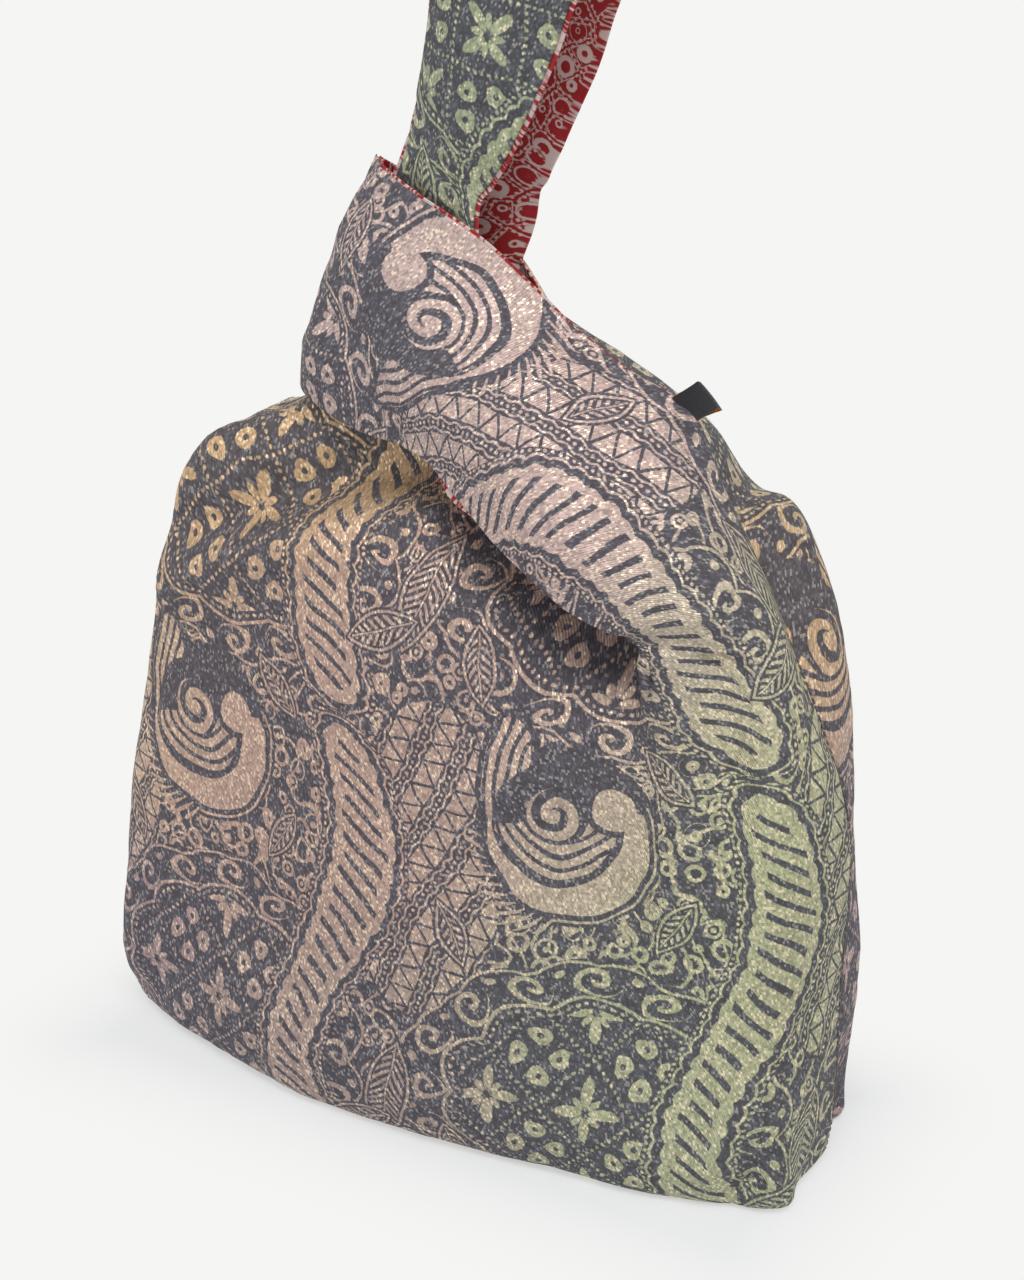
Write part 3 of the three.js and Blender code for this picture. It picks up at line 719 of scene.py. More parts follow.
class Pen:
    def __init__(self, tree):
        self.tree = tree

    def node(self, kind, settings=None, values=None):
        made = self.tree.nodes.new(kind)
        for key, value in (settings or {}).items():
            setattr(made, key, value)
        self.feed(made, values or {})
        return made

    def feed(self, node, values):
        for key, value in values.items():
            if isinstance(value, Wire):
                self.tree.links.new(value.socket, node.inputs[key])
            else:
                node.inputs[key].default_value = value

    def wire(self, node, output=0):
        return Wire(self, node.outputs[output])

    def sum(self, operation, *values, clamp=False):
        settings = {"operation": operation, "use_clamp": clamp}
        return self.wire(self.node("ShaderNodeMath", settings, dict(enumerate(values))))

    def least(self, first, *others):
        for other in others:
            first = self.sum("MINIMUM", first, other)
        return first

    def most(self, first, *others):
        for other in others:
            first = self.sum("MAXIMUM", first, other)
        return first

    def reach(self, x, y):
        return self.sum("SQRT", self.sum("MULTIPLY_ADD", x, x, y * y))

    def angle(self, y, x):
        return self.sum("ARCTAN2", y, x)

    def chosen(self, share, first, second):
        return first + (second - first) * share

    # where spots of one size lie: how far from the nearest one, its own chance, and the angle round it
    def spots(self, place, cell, evenness):
        values = {"Vector": place, "Scale": 1 / cell, "Randomness": evenness}
        found = self.node("ShaderNodeTexVoronoi", {"voronoi_dimensions": "2D"}, values)
        chance, spin, _ = self.parts(self.wire(found, "Color"))
        (u, v, _), (x, y, _) = self.parts(place), self.parts(self.wire(found, "Position"))
        turn = self.angle(v - y * cell, u - x * cell) + spin * 6.28
        return self.wire(found, "Distance") * cell, chance, turn

    # 1 inside a shape whose distance in millimetres is given, 0 outside, with a soft edge between
    def inside(self, distance, soft):
        return self.sum("MULTIPLY_ADD", distance, -1 / soft, 0.5, clamp=True)

    def oval(self, x, y, a, b):
        return self.sum("MULTIPLY_ADD", self.reach(x * (1 / a), y * (1 / b)), min(a, b), -min(a, b))

    def colours(self, share, first, second, blend="MIX"):
        settings = {"data_type": "RGBA", "blend_type": blend}
        return self.wire(self.node("ShaderNodeMix", settings, {0: share, 6: first, 7: second}), 2)

    def noise(self, place, size, detail=1.0, output="Fac"):
        values = {"Vector": place, "Scale": 1 / size, "Detail": detail}
        return self.wire(self.node("ShaderNodeTexNoise", None, values), output)

    def scaled(self, vector, share):
        settings = {"operation": "SCALE"}
        return self.wire(self.node("ShaderNodeVectorMath", settings, {0: vector, "Scale": share}))

    def attribute(self, name, output):
        return self.wire(self.node("ShaderNodeAttribute", {"attribute_name": name}), output)

    def parts(self, vector):
        node = self.node("ShaderNodeSeparateXYZ", None, {0: vector})
        return self.wire(node, 0), self.wire(node, 1), self.wire(node, 2)

    def vector(self, x, y, z=0.0):
        return self.wire(self.node("ShaderNodeCombineXYZ", None, {0: x, 1: y, 2: z}))

    # millimetres on the flat cloth
    def clothPlace(self):
        return self.scaled(self.wire(self.node("ShaderNodeUVMap", {"uv_map": "print"})), 1 / mm)


class Finish(Pen):
    def __init__(self, name, roughness, sheen=0.0):
        self.material = bpy.data.materials.new(name)
        self.material.use_nodes = True
        super().__init__(self.material.node_tree)
        self.shader = self.tree.nodes["Principled BSDF"]
        self.feed(self.shader, {"Roughness": roughness, "Sheen Weight": sheen})

    def bump(self, height, strength=1.0):
        values = {"Height": height, "Strength": strength, "Distance": mm}
        self.feed(self.shader, {"Normal": self.wire(self.node("ShaderNodeBump", None, values))})


def linear(red, green, blue):
    shares = (c / 255 for c in (red, green, blue))
    return *(((c + 0.055) / 1.055) ** 2.4 if c > 0.04 else c / 12.92 for c in shares), 1.0


# the batik print, in millimetres on the flat cloth: one repeat, and where each ornament stands in it
batik = {
    "repeat": (155, 185), "wander": (14, 3.4), "ragged": 0.42, "edge": 0.3,
    "filler": 8.6, "vine": 0.42, "vineSize": 27, "vineLines": 9,
    "lattice": {"at": (75, 31), "radius": 38, "stretch": 1.3, "scallop": 3.6, "cell": 25.5, "beads": 2.55},
    "swirl": {"at": (62, 130), "radius": 29},
    "wing": {"at": (126, 66), "angle": -3, "length": 76, "width": 11, "bend": 12, "bendLength": 25,
             "bars": 7},
    "rows": {"at": (10, 112), "slant": 64, "radii": (31, 60), "period": 15.5, "triangle": 8.6},
    "leaves": [
        {"at": (101, 103), "angle": 58, "length": 12, "width": 5.4},
        {"at": (97, 157), "angle": -48, "length": 13, "width": 5.6},
        {"at": (22, 88), "angle": 118, "length": 12, "width": 5.2},
        {"at": (0, 22), "angle": 78, "length": 22, "width": 8.6},
        {"at": (-14, 190), "angle": 24, "length": 15, "width": 6.4},
        {"at": (25, 186), "angle": 104, "length": 14, "width": 6},
    ],
}


def ornamentPlace(pen, cloth, ornament):
    x, y = ((c - at).wrapped(period) for c, at, period in zip(cloth, ornament["at"], batik["repeat"]))
    if "angle" not in ornament:
        return x, y
    turn = math.radians(ornament["angle"])
    c, s = math.cos(turn), math.sin(turn)
    return pen.sum("MULTIPLY_ADD", x, c, y * s), pen.sum("MULTIPLY_ADD", y, c, x * -s)


# small rings, curls and flowers that fill the ground, with thin winding vines between them
def fillerInk(pen, place):
    r, chance, turn = pen.spots(place, batik["filler"], 0.8)
    ring = pen.least((r - 2.3).size() - 0.55, r - 0.9)
    arm = (turn * 0.159 + r * 0.28).wrapped(1).size()
    curl = pen.most((arm - 0.22) * 3.6, r - 4.0)
    flower = pen.most(r - ((turn * 5).wave() * 0.9 + 2.8), 0.8 - r)
    ink = pen.chosen(chance > 0.26, ring, curl)
    ink = pen.chosen(chance > 0.78, ink, flower)
    winding = (pen.noise(place, batik["vineSize"]) * batik["vineLines"]).wrapped(1).size() * 4.5
    return pen.least(ink, winding - batik["vine"])


# diamonds of dots that hold a star and four hearts by turns, in a cloud outline with scrolls round it
def latticeInk(pen, cloth):
    form = batik["lattice"]
    x, y = ornamentPlace(pen, cloth, form)
    cell, beads, diagonal = form["cell"], form["beads"], math.sqrt(0.5)
    p, q = (x + y) * diagonal, (x - y) * diagonal
    pc, qc = p.wrapped(cell), q.wrapped(cell)
    pa, qa = pc.size(), qc.size()
    dots = pen.least(pen.reach(cell / 2 - pa, q.wrapped(beads)),
                     pen.reach(cell / 2 - qa, p.wrapped(beads))) - 0.66
    across, upright = ((pc + qc) * diagonal).size(), ((pc - qc) * diagonal).size()
    far, near = pen.most(across, upright), pen.least(across, upright)
    star = pen.least(pen.oval(far - 6.6, near, 5.2, 1.95),
                     pen.oval(pen.most(pa, qa) - 4.2, pen.least(pa, qa), 2.5, 1.25))
    heart = pen.most(pen.oval(far - near * 0.3 - 6.9, near, 3.4, 3.9), 1.1 - pen.reach(far - 7.4, near))
    odd = (((p / cell + 0.5).floor() + (q / cell + 0.5).floor()) * 0.5).wrapped(1).size() > 0.25
    cells = pen.least(pen.chosen(odd, star, heart), dots)
    narrow = x / form["stretch"]
    turn = pen.angle(y, narrow)
    out = pen.reach(narrow, y) - (turn * 5).wave().size() * form["scallop"] - form["radius"]
    ink = pen.least(pen.most(cells, out + 4.2), out.size() - 0.6,
                    pen.reach((turn * 38).wrapped(2.5), out + 2.4) - 0.62)
    side, over = (turn * 43).wrapped(43 * math.tau / 16), out - 6.6
    r = pen.reach(side, over)
    arm = (pen.angle(over, side) / math.tau + r / 4.6).wrapped(1).size()
    scroll = pen.most((arm - 0.2) * 4.6, r - 5.9)
    between = pen.reach((turn * 43 + 43 * math.tau / 32).wrapped(43 * math.tau / 16), over - 3.4) - 1.3
    rim = (out - (turn * 8).wave().size() * 2.2 - 11.6).size() - 0.5
    return pen.least(ink, scroll, between, rim), out - 14.4


# a comma with a round head and a sweeping tail, a curl beside it, and feather lines that run up past it
def swirlInk(pen, cloth):
    form = batik["swirl"]
    x, y = ornamentPlace(pen, cloth, form)
    size = form["radius"]
    r = pen.reach(x, y)
    inner = pen.reach(x + 4.5, y - 5)
    headR = pen.reach(x - 15, y - 12)
    comma = pen.least(pen.most(r - size, size - 5.5 - inner, y - 13), headR - 7.8)
    curlX, curlY = x + 5.5, y - 8
    curlR = pen.reach(curlX, curlY)
    arm = (pen.angle(curlY, curlX) / math.tau + curlR / 6.8).wrapped(1).size()
    curl = pen.least(pen.most((arm - 0.26) * 6.8, curlR - 10), curlR - 2.4)
    lines = (pen.reach(x + 2, y - 14) + (x * 0.16).wave() * 0.9).wrapped(4.5).size() - 1.4
    feathers = pen.most(lines, inner - size + 8.2, 11.4 - curlR, 10.2 - headR, y - 9 - x * 0.3)
    sweep = (pen.reach(x - 10, y * 0.45) + (y * 0.2).wave() * 0.7).wrapped(3.9).size() - 1.2
    rising = pen.most(sweep, pen.oval(x + 22, y - 18, 9.5, 22), size - 7 - inner, 11.4 - curlR)
    rim = pen.most((r - size - 2.7).size() - 0.5, y - 16, -4 - x)
    around = pen.angle(y, x)
    strokes = (around * 34 + r * 0.7).wrapped(4).size() - 0.9 + (r - size - 7).size() * 0.1
    hairs = pen.most(strokes, r - size - 10 - (around * 5).wave() * 3, size + 2 - r, x + 3, y + 3)
    cover = pen.least(r - size - 4.6, pen.oval(x + 22, y - 18, 12, 25))
    return pen.least(pen.most(pen.least(comma, feathers), 11.4 - curlR), curl, rising, rim, hairs), cover


# a long curved band with slanted bars and a beaded edge
def wingInk(pen, cloth):
    form = batik["wing"]
    x, y = ornamentPlace(pen, cloth, form)
    side = x - (y / form["bendLength"]).wave() * form["bend"]
    tip = pen.most(y.size() - form["length"], 0)
    w = pen.reach(side, tip) - (y / 19).wave() * 1.8
    uneven = ((y + side * 0.55) / form["bars"] + 0.5).floor().wrapped(3) * 0.9
    bars = pen.most((y + side * 0.55).wrapped(form["bars"]).size() - 1.25, w - form["width"] * 0.7 - uneven)
    bulges = (y * (math.pi / form["bars"])).wave().size() * 1.3
    body = pen.most(w - form["width"] - bulges, -bars)
    rim = (w - form["width"] - 3.4 - bulges).size() - 0.5
    beads = pen.reach(y.wrapped(2.3), w - form["width"] - 6) - 0.62
    return pen.least(body, rim, beads), w - form["width"] - 7


# rows of triangles between waved lines and dotted lines
def rowsInk(pen, cloth):
    form = batik["rows"]
    x, y = ornamentPlace(pen, cloth, form)
    cover = pen.oval(x, y, *form["radii"])
    turn = math.radians(form["slant"])
    along = x * math.cos(turn) + y * math.sin(turn)
    across = y * math.cos(turn) - x * math.sin(turn) + (along / 13).wave() * 1.6
    row = across.wrapped(form["period"])
    zigzag = along.wrapped(form["triangle"]).size() * 2 - form["triangle"] / 2
    triangles = pen.most(row.size() - 4.1, 0.75 - (row - zigzag).size() * 0.7)
    waves = (row.size() - 5.7 - (along * 1.05).wave() * 0.45).size() - 0.42
    dots = pen.reach(along.wrapped(2.3), form["period"] / 2 - row.size()) - 0.62
    return pen.most(pen.least(triangles, waves, dots), cover + 0.8), cover


def leafInk(pen, cloth, leaf):
    x, y = ornamentPlace(pen, cloth, leaf)
    far = y.size()
    share = x / leaf["length"]
    edge = far - (1 - share * share) * leaf["width"]
    veins = pen.most((x + far * 0.9).wrapped(3.2).size() - 0.75, 0.7 - far)
    inner = pen.most(pen.least(veins, far - 0.32), edge + 1.7)
    return pen.least((edge + 0.3).size() - 0.5, inner), edge - 1.3


def batikInk(pen, place):
    size, far = batik["wander"]
    shift = pen.node("ShaderNodeVectorMath", {"operation": "MULTIPLY_ADD"},
                     {0: pen.noise(place, size, 0.0, "Color"), 1: (far, far, 0), 2: place})
    place = pen.wire(shift)
    cloth = pen.parts(place)[:2]
    ink = fillerInk(pen, place)
    ornaments = [rowsInk(pen, cloth), latticeInk(pen, cloth), swirlInk(pen, cloth), wingInk(pen, cloth)]
    ornaments += [leafInk(pen, cloth, leaf) for leaf in batik["leaves"]]
    for paint, cover in ornaments:
        ink = pen.least(pen.most(ink, -cover), paint)
    ragged = (pen.noise(place, 0.9, 2.0) - 0.5) * (2 * batik["ragged"])
    return pen.inside(ink + ragged, batik["edge"])


# threads of the brocade in millimetres, and how much they show; groundGlint and the sparkle colour are
# painted highlights laid into the cloth's colour
threads = {
    "cell": (0.7, 0.95), "slub": 2.2, "crepe": (3.6, 0.5), "fine": (1.2, 0.2), "twill": (0.95, 0.05),
    "ground": linear(66, 64, 74), "groundGlint": linear(126, 132, 146), "groundTint": 0.07, "mottle": 4.5,
    "paintedSparkle": linear(250, 230, 200), "paintedSparkleFrom": 0.88, "metal": 0.3, "rough": 0.68, "gloss": 0.35,
}


def brocadeFinish():
    pen = Finish("brocade", 0.5)
    place = pen.clothPlace()
    u, v, _ = pen.parts(place)
    ink = batikInk(pen, place)
    wide, tall = threads["cell"]
    cells = pen.vector((u / wide + v * 0.35).floor(), (v / tall).floor())
    scatter = pen.node("ShaderNodeTexWhiteNoise", {"noise_dimensions": "2D"}, {"Vector": cells})
    chance = pen.wire(scatter, "Value")
    slub = pen.noise(place, threads["slub"], 2.0)
    mottle = pen.noise(place, threads["mottle"], 2.0)
    tint = pen.attribute("tint", "Color")
    # the ink's gold changes in lightness by chance per thread cell and along slubs: thread tone, and in its
    # lightest cells painted sparkle
    metal = pen.scaled(tint, chance * 0.62 + slub * 0.5 + 0.42)
    # painted highlight: pale bluish specks on a few chance thread cells of the ground stand in for its sheen
    glint = pen.colours(chance * chance * chance * 0.8, threads["ground"], threads["groundGlint"])
    ground = pen.scaled(pen.colours(threads["groundTint"], glint, tint), mottle * 1.1 + 0.42)
    cloth = pen.colours(ink, ground, metal)
    # painted sparkle: a pale colour is painted on chance thread cells and stands in for light caught by the
    # metal threads; the same cells also get some real metal and gloss
    paintedSparkle = pen.inside((threads["paintedSparkleFrom"] - chance) * 20, 1.0) * (ink * 0.5 + slub * 0.4)
    cloth = pen.colours(paintedSparkle, cloth, threads["paintedSparkle"])
    pen.feed(pen.shader, {
        "Base Color": cloth,
        "Metallic": ink * threads["metal"] + paintedSparkle * 0.4,
        "Roughness": threads["rough"] - ink * 0.16 - paintedSparkle * 0.2,
        "Specular IOR Level": threads["gloss"],
    })
    twillPitch, twillHeight = threads["twill"]
    sizes = threads["crepe"], threads["fine"]
    crepe, fine = (pen.noise(place, size, 2.0) * height for size, height in sizes)
    twill = ((u + v * 0.6) * (math.tau / twillPitch)).wave() * twillHeight
    pen.bump(crepe + fine + twill + chance * 0.05)
    return pen.material


# red printed cotton: small flowers, curls and rows of dots in off-white, in millimetres
liningPrint = {
    "red": linear(176, 30, 34), "deep": linear(150, 20, 26), "white": linear(226, 208, 200), "patch": 5.0,
    "flower": 8.5, "petals": 5, "evenness": 0.7, "dots": 2.1, "ragged": 0.35, "weave": (0.6, 0.04),
    "crumple": (3.0, 0.3),
}


def liningFinish():
    pen = Finish("lining", 0.8, 0.1)
    place = pen.clothPlace()
    u, v, _ = pen.parts(place)
    cell, dots, evenness = liningPrint["flower"], liningPrint["dots"], liningPrint["evenness"]
    r, chance, turn = pen.spots(place, cell, evenness)
    edges = pen.node("ShaderNodeTexVoronoi", {"voronoi_dimensions": "2D", "feature": "DISTANCE_TO_EDGE"},
                     {"Vector": place, "Scale": 1 / cell, "Randomness": evenness})
    flower = pen.most(r - ((turn * liningPrint["petals"]).wave() * 0.8 + 2.1), 0.75 - r)
    sprig = pen.most((turn * 1.27 + r * 1.4).wave() * 0.9 + 0.15, (r - 2.2).size() - 1.5)
    ink = pen.chosen(chance > 0.5, flower, sprig)
    vine = (pen.wire(edges, "Distance") * cell - 0.75).size()
    beads = pen.reach(u.wrapped(dots), v.wrapped(dots)) - 0.55
    ink = pen.least(ink, pen.most(vine - 0.7, beads), vine - 0.16)
    ragged = (pen.noise(place, 0.8) - 0.5) * (2 * liningPrint["ragged"])
    ink = pen.inside(ink + ragged, 0.3)
    cloth = pen.colours(pen.noise(place, liningPrint["patch"]), liningPrint["deep"], liningPrint["red"])
    pen.feed(pen.shader, {"Base Color": pen.colours(ink * 0.9, cloth, liningPrint["white"])})
    pitch, weaveHeight = liningPrint["weave"]
    size, height = liningPrint["crumple"]
    weave = (u * (math.tau / pitch)).wave() * (v * (math.tau / pitch)).wave() * weaveHeight
    pen.bump(weave + pen.noise(place, size, 2.0) * height)
    return pen.material


# soft changes of colour along the cloth, as the changing dye and metal threads give it: a place on the flat
# cloth of that side in millimetres, how far it reaches, and its red, green and blue
dyes = {
    "front": [
        (150, 290, 60, 206, 180, 172), (235, 345, 60, 200, 176, 170), (125, 215, 26, 200, 188, 168),
        (-110, 226, 42, 212, 178, 136), (-60, 262, 30, 200, 168, 130), (-142, 135, 42, 212, 182, 158),
        (-142, 30, 40, 176, 150, 150), (-50, 130, 58, 198, 166, 152), (20, 156, 42, 194, 166, 154),
        (-15, 26, 50, 182, 160, 150), (62, 130, 30, 200, 184, 164), (82, 40, 44, 182, 184, 150),
        (126, 100, 40, 190, 192, 152), (150, 190, 30, 200, 196, 160), (174, 90, 40, 188, 182, 152),
        (-75, 380, 45, 174, 182, 148), (-140, 460, 50, 188, 194, 160), (-56, 318, 26, 182, 182, 150),
    ],
    "back": [
        (150, 200, 40, 212, 178, 140), (172, 110, 45, 190, 160, 156), (160, 20, 45, 186, 158, 156),
        (60, 130, 60, 184, 162, 152), (-40, 60, 60, 184, 186, 152), (-130, 110, 50, 178, 184, 150),
        (-100, 220, 45, 196, 174, 150), (30, 20, 50, 186, 172, 152), (150, 290, 60, 190, 184, 152),
        (235, 345, 60, 204, 178, 160), (-75, 380, 45, 192, 170, 158), (-140, 460, 50, 184, 178, 150),
    ],
}


def dyeColours(flat, side):
    total = np.zeros((len(flat), 3))
    weights = np.zeros((len(flat), 1))
    for x, y, reach, *colour in dyes[side]:
        weight = bell(np.linalg.norm(flat - (x, y), axis=1, keepdims=True), reach) + 1e-6
        total += weight * np.array(linear(*colour)[:3])
        weights += weight
    return total / weights


# black ribbon outside, orange inside: the two sides come from the ribbon's own attribute
ribbon = {"black": linear(25, 25, 29), "worn": linear(40, 40, 46), "orange": linear(214, 134, 40),
          "rib": 0.42, "ribHeight": 0.07}


def ribbonFinish():
    pen = Finish("ribbon", 0.62, 0.2)
    place = pen.clothPlace()
    u, v, _ = pen.parts(place)
    inside = pen.attribute("inside", "Fac")
    black = pen.colours(pen.noise(place, 0.7, 2.0), ribbon["black"], ribbon["worn"])
    pen.feed(pen.shader, {"Base Color": pen.colours(inside > 0.5, black, ribbon["orange"])})
    pitch = math.tau / ribbon["rib"]
    ribs = (v * pitch).wave() * 0.5 + (u * pitch).wave() * 0.3
    pen.bump(ribs * ribbon["ribHeight"])
    return pen.material


threadLook = {"dark": linear(70, 62, 66), "light": linear(124, 112, 110), "fleck": 1.1, "fibre": 0.3}


def threadFinish():
    pen = Finish("sewing_thread", 0.7, 0.3)
    place = pen.wire(pen.node("ShaderNodeTexCoord"), "Object")
    fleck = pen.noise(place, threadLook["fleck"] * mm, 2.0)
    pen.feed(pen.shader, {"Base Color": pen.colours(fleck, threadLook["dark"], threadLook["light"])})
    pen.bump(pen.noise(place, threadLook["fibre"] * mm, 1.0) * 0.12)
    return pen.material


brocade = brocadeFinish()
liningCloth = liningFinish()
ribbonCloth = ribbonFinish()
sewingThread = threadFinish()
print("finishes: brocade, lining, ribbon, thread")

mouthFaces = quads(upIds[:rootRow + 1])
parts = {
    "cloth": np.concatenate([sheetFaces["body"], sheetFaces["base"], sheetFaces["loop"], mouthFaces]),
    "shoulder": quads(upIds[rootRow:neckRow + 1]),
    "handle": quads(upIds[neckRow:]),
}
nodeOf = {"cloth": "panel", "shoulder": "strap_root", "handle": "long_strap"}
neckPoint = np.array([bagForm["neck"][0], 0, bagForm["neck"][1]])
neckBelow, neckAbove = (tuple((neckPoint + rise * turned(bagForm["neckTilt"])) * mm) for rise in (-3, 26))
# two bodies and two places for each length of cloth that spans a joint; only whether a part is listed is
# read, and a listed piece is left in place, attached to no body
blends = {
    "shoulder": ("bag", "strap_root", (0, 0, 0.218), (0, 0, 0.262)),
    "handle": ("strap_root", "long_strap", neckBelow, neckAbove),
}


def carry(piece, part):
    if part in blends:
        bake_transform(piece)
    else:
        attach(piece, "long_strap" if part == "arch" else "bag")


sheets = {side: foldedSheet(side) for side in signs}
fabrics = [("brocade", "", brocade, np.zeros((len(sheetPoints), 2))),
           ("lining", "_lining", liningCloth, liningPeek())]
for side in signs:
    for part, faces in parts.items():
        for fabric, ending, material, peek in fabrics:
            piece = clothLayer(f"{side}_{part}{ending}", faces, layers[fabric], side, peek, material)
            carry(piece, part)
            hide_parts(f"{side}_{nodeOf[part]}{ending}")
    print("cloth:", side)

# stitches in millimetres, along the bottom of each seam's groove
stitching = {"Stitch Length": 2.5, "Stitch Gap": 0.5, "Thread Width": 0.62, "Slant": 7, "Unevenness": 0.12,
             "Seed": 5}
stitchDepth = 0.45


def stitchTree():
    tree = bpy.data.node_groups.new("stitches", "GeometryNodeTree")
    kinds = {"Geometry": "Geometry", **dict.fromkeys(stitching, "Float"), "Seed": "Int", "Thread": "Material"}
    tree.interface.new_socket("Geometry", in_out="OUTPUT", socket_type="NodeSocketGeometry")
    for name, kind in kinds.items():
        tree.interface.new_socket(name, in_out="INPUT", socket_type="NodeSocket" + kind)
    pen = Pen(tree)
    given = pen.node("NodeGroupInput")
    seam, length, gap, width, slant, unevenness, seed, thread = (pen.wire(given, k) for k in range(8))
    line = pen.wire(pen.node("GeometryNodeMeshToCurve", None, {"Mesh": seam}))
    places = pen.wire(pen.node("GeometryNodeResampleCurve", {"mode": "LENGTH"},
                               {"Curve": line, "Length": (length + gap) * mm}))
    ball = pen.node("GeometryNodeMeshUVSphere", None, {"Segments": 8, "Rings": 6, "Radius": 0.5 * mm})
    stitch = pen.node("GeometryNodeTransform", None,
                      {"Geometry": pen.wire(ball), "Scale": pen.vector(width, width, length)})
    stitch = pen.node("GeometryNodeSetShadeSmooth", None, {"Geometry": pen.wire(stitch)})
    along = pen.wire(pen.node("GeometryNodeInputTangent"))
    way = pen.wire(pen.node("FunctionNodeAlignRotationToVector", {"axis": "Z"}, {"Vector": along}))
    lean = pen.node("FunctionNodeEulerToRotation", None, {0: pen.vector(slant * (math.pi / 180), 0.0)})
    way = pen.node("FunctionNodeRotateRotation", {"rotation_space": "LOCAL"}, {0: way, 1: pen.wire(lean)})
    sizes = pen.node("FunctionNodeRandomValue", {"data_type": "FLOAT"},
                     {2: 1 - unevenness, 3: 1 + unevenness, "Seed": seed})
    sewn = pen.node("GeometryNodeInstanceOnPoints", None, {
        "Points": places,
        "Instance": pen.wire(stitch),
        "Rotation": pen.wire(way),
        "Scale": pen.wire(sizes, 1),
    })
    solid = pen.node("GeometryNodeRealizeInstances", None, {0: pen.wire(sewn)})
    dressed = pen.node("GeometryNodeSetMaterial", None, {"Geometry": pen.wire(solid), "Material": thread})
    pen.node("NodeGroupOutput", None, {0: pen.wire(dressed)})
    return tree


def groovePlaces(side, ids):
    points, outward, _ = sheets[side]
    return points[ids] + outward[ids] * (layers["seamGroove"] - stitchDepth)


def seamLine(ids):
    line = (groovePlaces("front", ids) + groovePlaces("back", ids)) / 2
    line[:, 1] = 0
    return line


# a seam's line is open where the two sides part
def closedRun(ids):
    plane = sheetSeam["plane"][ids]
    return ids if plane.all() else ids[:int(np.argmin(plane))]


def cornerLine(ids):
    front, back = (groovePlaces(side, ids) for side in signs)
    line = np.concatenate([front[::-1], back[1:] * (1, -1, 1)])
    line[:, 2] = np.maximum(line[:, 2], stitching["Thread Width"])
    return line


def sewSeam(name, line, tree):
    mesh = bpy.data.meshes.new(name)
    mesh.from_pydata((line * mm).tolist(), [(k, k + 1) for k in range(len(line) - 1)], [])
    guide = placed(name + "_guide", mesh)
    sewing = guide.modifiers.new("stitches", "NODES")
    sewing.node_group = tree
    for item in tree.interface.items_tree:
        if item.in_out == "INPUT" and item.name in stitching:
            sewing[item.identifier] = stitching[item.name]
        if item.name == "Thread":
            sewing[item.identifier] = sewingThread
    evaluated = guide.evaluated_get(bpy.context.evaluated_depsgraph_get())
    stitches = bpy.data.meshes.new_from_object(evaluated)
    guide.modifiers.remove(sewing)
    bpy.data.objects.remove(guide)
    return placed(name + "_stitches", stitches)


body, loop = sheetPatches["body"], sheetPatches["loop"]
cornerSteps = clothSteps["side"] + 1
seams = {
    "side_seam_left": ("shoulder", seamLine(closedRun(np.concatenate([body[:, 0], upIds[1:, 0]])))),
    "side_seam_right": ("cloth", seamLine(closedRun(np.concatenate([body[:, -1], loop[1:, -1]])))),
    "base_seam": ("cloth", seamLine(sheetPatches["base"][-1])),
    "corner_seam_left": ("cloth", cornerLine(body[0, :cornerSteps])),
    "corner_seam_right": ("cloth", cornerLine(body[0, :-cornerSteps - 1:-1])),
    "short_strap_seam": ("cloth", seamLine(loop[-1])),
    "long_strap_seam": ("arch", seamLine(upIds[-1])),
}
stitches = stitchTree()
for name, (part, line) in seams.items():
    piece = sewSeam(name, line, stitches)
    carry(piece, part)
    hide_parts(name)
print("seams:", len(seams), "stitched")

# the folded ribbon, in millimetres: where it is sewn in, its width and upward ways, how far askew its back is
# folded, and the way that its middle takes, forwards and upwards from the seam
label = {
    "at": (78.18, -3.38, 270.42), "across": (0.595, 0.213, -0.775), "up": (0.797, -0.018, 0.604),
    "width": 11, "height": 10, "thick": 0.42, "bow": 0.5, "askew": 2.0, "steps": (48, 14), "flatStep": 0.55,
    "middle": [(0.25, -1.2), (0.5, 2.6), (0.9, 5.8), (0.8, 8.6), (0.2, 9.9), (-0.9, 10.2), (-1.9, 9.4),
               (-2.5, 7.2), (-2.3, 4.8), (-1.4, 2.3), (-0.3, -1.2)],
}


def foldedLabel():
    along, columns = label["steps"]
    path = smooth(label["middle"], np.linspace(0, len(label["middle"]) - 1, along))
    way = unit(np.gradient(path, axis=0))
    out = np.stack([way[:, 1], -way[:, 0]], -1) * label["thick"] / 2
    ring = np.concatenate([path + out, (path - out)[::-1]])
    ahead, rise = ring[:, :1], ring[:, 1:]
    across, up = np.array(label["across"]), np.array(label["up"])
    forward = np.cross(across, up)
    behind = np.clip(-ahead / 2, 0, 1) * np.clip(rise / label["height"], 0, 1) * label["askew"]
    shares = np.linspace(-0.5, 0.5, columns)
    points = []
    for share in shares:
        bow = label["bow"] * (4 * share**2 - 0.5)
        points.append(label["at"] + across * (share * label["width"] + behind)
                      + forward * (ahead + bow * (rise > 0)) + up * rise)
    count = len(ring)
    ids = np.arange(columns * count).reshape(columns, count)
    after = np.roll(ids, -1, axis=1)
    faces = np.stack([ids[:-1], ids[1:], after[1:], after[:-1]], -1).reshape(-1, 4).tolist()
    ends = [(k, k + 1, count - 2 - k, count - 1 - k) for k in range(along - 1)]
    faces += [face[::-1] for face in ends]
    faces += [tuple(ids[-1, k] for k in face) for face in ends]
    flat = np.array([(share * label["width"], min(k, count - 1 - k) * label["flatStep"])
                     for share in shares for k in range(count)])
    mesh = clothMesh("label_ribbon", np.concatenate(points) * mm, faces, flat, ribbonCloth)
    inside = np.tile(np.concatenate([np.zeros(along), np.ones(along)]), columns)
    mesh.attributes.new("inside", "FLOAT", "POINT").data.foreach_set("value", inside.astype(np.float32))
    piece = placed("label_ribbon", mesh)
    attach(piece, "label")
    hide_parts("woven_label")


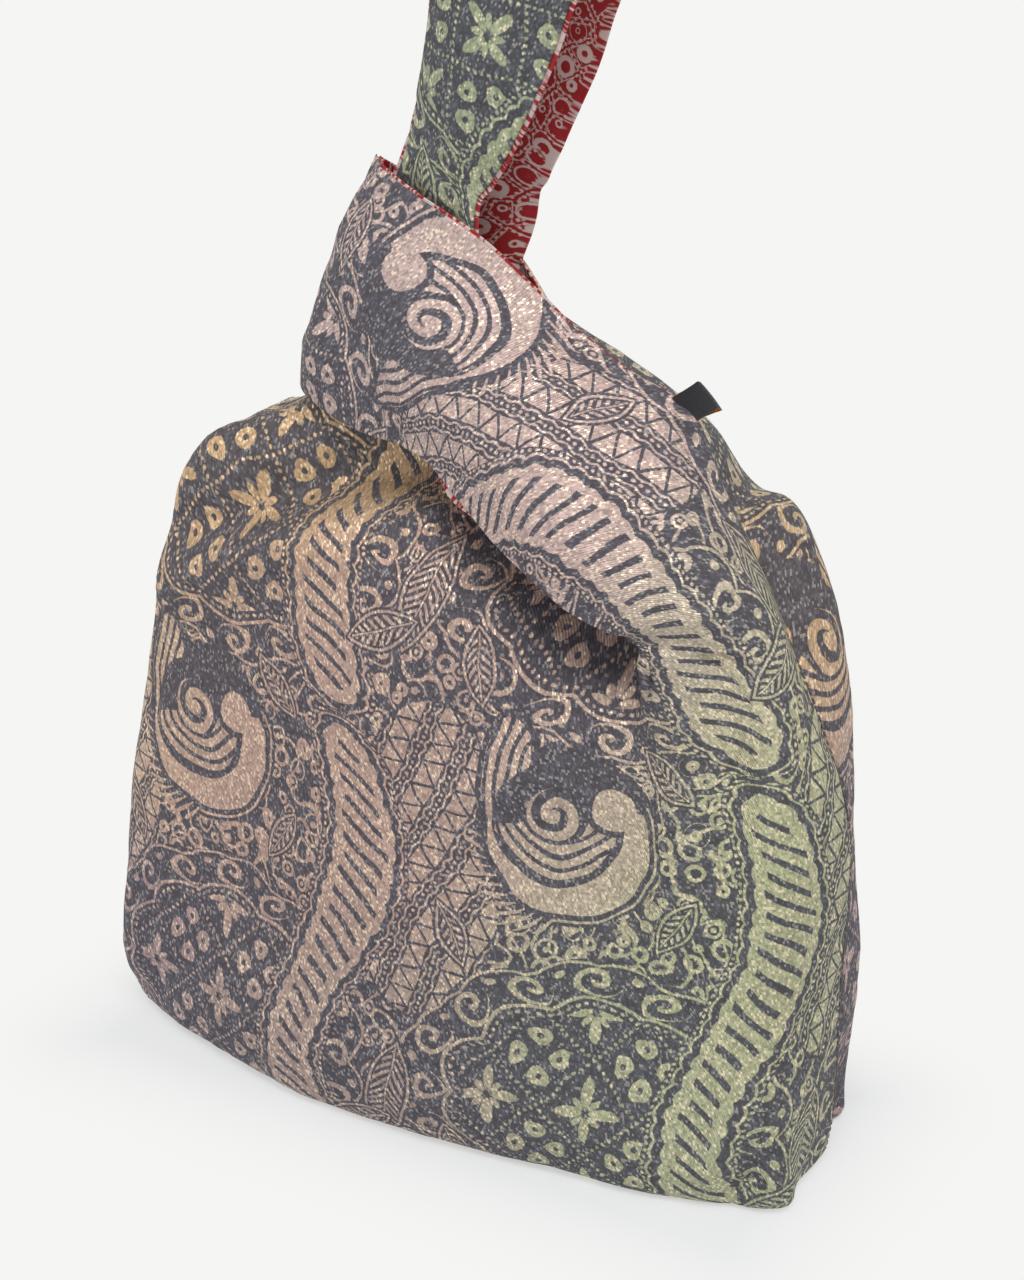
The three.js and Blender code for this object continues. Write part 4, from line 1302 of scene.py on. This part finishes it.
foldedLabel()
gap = np.linalg.norm(sheets["front"][0][loop[:, -1]] - label["at"], axis=1).min()
print("label: sewn in,", round(float(gap), 2), "mm from the front armhole's edge")

# camera at the photograph's viewing angle, fitted on the base, the label and the loop
view = {"azimuth": 30.94, "elevation": 22.0, "distance": 855.67, "target": (9.89, 0, 173.17), "lens": 67.18,
        "sensor": 36}


def addCamera():
    a, e = math.radians(view["azimuth"]), math.radians(view["elevation"])
    back = Vector((math.sin(a) * math.cos(e), -math.cos(a) * math.cos(e), math.sin(e)))
    data = bpy.data.cameras.new("camera")
    data.lens = view["lens"]
    data.sensor_width = view["sensor"]
    camera = placed("camera", data)
    camera.location = (Vector(view["target"]) + back * view["distance"]) * mm
    camera.rotation_euler = (-back).to_track_quat("-Z", "Y").to_euler()
    scene.camera = camera


# pale studio, in metres: seen directly, the floor is plain background, and near the bag's foot, of which the
# half width, the half depth and the shift forwards are given, a share of it is the lit floor with its shadow;
# the lamps have a place, a size and a power
studio = {
    "background": linear(245, 245, 243), "shade": linear(238, 241, 248), "world": 0.35,
    "floorReach": 6.0, "floorDrop": 0.0004, "aim": (0, 0, 0.15),
    "foot": (0.134, 0.055, 0.012), "shadowShare": 0.42, "shadowReach": 0.06,
    "lamps": {"key": ((0.75, -0.95, 1.95), 1.1, 26), "fill": ((-1.6, -1.2, 0.9), 1.6, 5)},
}


def seenDirectly(pen):
    path = pen.node("ShaderNodeLightPath")
    return pen.most(*(pen.wire(path, f"Is {ray} Ray") for ray in ("Camera", "Glossy", "Transmission")))


def addStage():
    mesh = bpy.data.meshes.new("floor")
    reach = studio["floorReach"]
    corners = [(-reach, -reach), (reach, -reach), (reach, reach), (-reach, reach)]
    mesh.from_pydata([(x, y, -studio["floorDrop"]) for x, y in corners], [], [(0, 1, 2, 3)])
    pen = Finish("floor", 0.9)
    pen.feed(pen.shader, {"Base Color": studio["shade"]})
    x, y, _ = pen.parts(pen.wire(pen.node("ShaderNodeTexCoord"), "Object"))
    wide, deep, ahead = studio["foot"]
    away = pen.reach(pen.most(x.size() - wide, 0), pen.most((y + ahead).size() - deep, 0))
    near = pen.sum("SUBTRACT", 1.0, away * (1 / studio["shadowReach"]), clamp=True)
    plain = pen.node("ShaderNodeEmission", None, {"Color": studio["background"], "Strength": 1.0})
    share = seenDirectly(pen) * (1 - near * near * studio["shadowShare"])
    shown = pen.node("ShaderNodeMixShader", None, {0: share, 1: pen.wire(pen.shader), 2: pen.wire(plain)})
    pen.feed(pen.tree.nodes["Material Output"], {"Surface": pen.wire(shown)})
    mesh.materials.append(pen.material)
    floor = placed("floor", mesh)


def addWorld():
    world = bpy.data.worlds.new("studio")
    world.use_nodes = True
    pen = Pen(world.node_tree)
    light = pen.tree.nodes["Background"]
    pen.feed(light, {"Color": (1, 1, 1, 1), "Strength": studio["world"]})
    behind = pen.node("ShaderNodeBackground", None, {"Color": studio["background"], "Strength": 1.0})
    shown = pen.node("ShaderNodeMixShader", None,
                     {0: seenDirectly(pen), 1: pen.wire(light), 2: pen.wire(behind)})
    pen.feed(pen.tree.nodes["World Output"], {"Surface": pen.wire(shown)})
    scene.world = world


def addLamps():
    for name, (location, size, power) in studio["lamps"].items():
        data = bpy.data.lights.new(name, "AREA")
        data.energy = power
        data.size = size
        lamp = placed(name, data)
        lamp.location = location
        lamp.rotation_euler = (Vector(studio["aim"]) - Vector(location)).to_track_quat("-Z", "Y").to_euler()


addCamera()
addStage()
addLamps()
addWorld()
scene.view_settings.view_transform = "Standard"
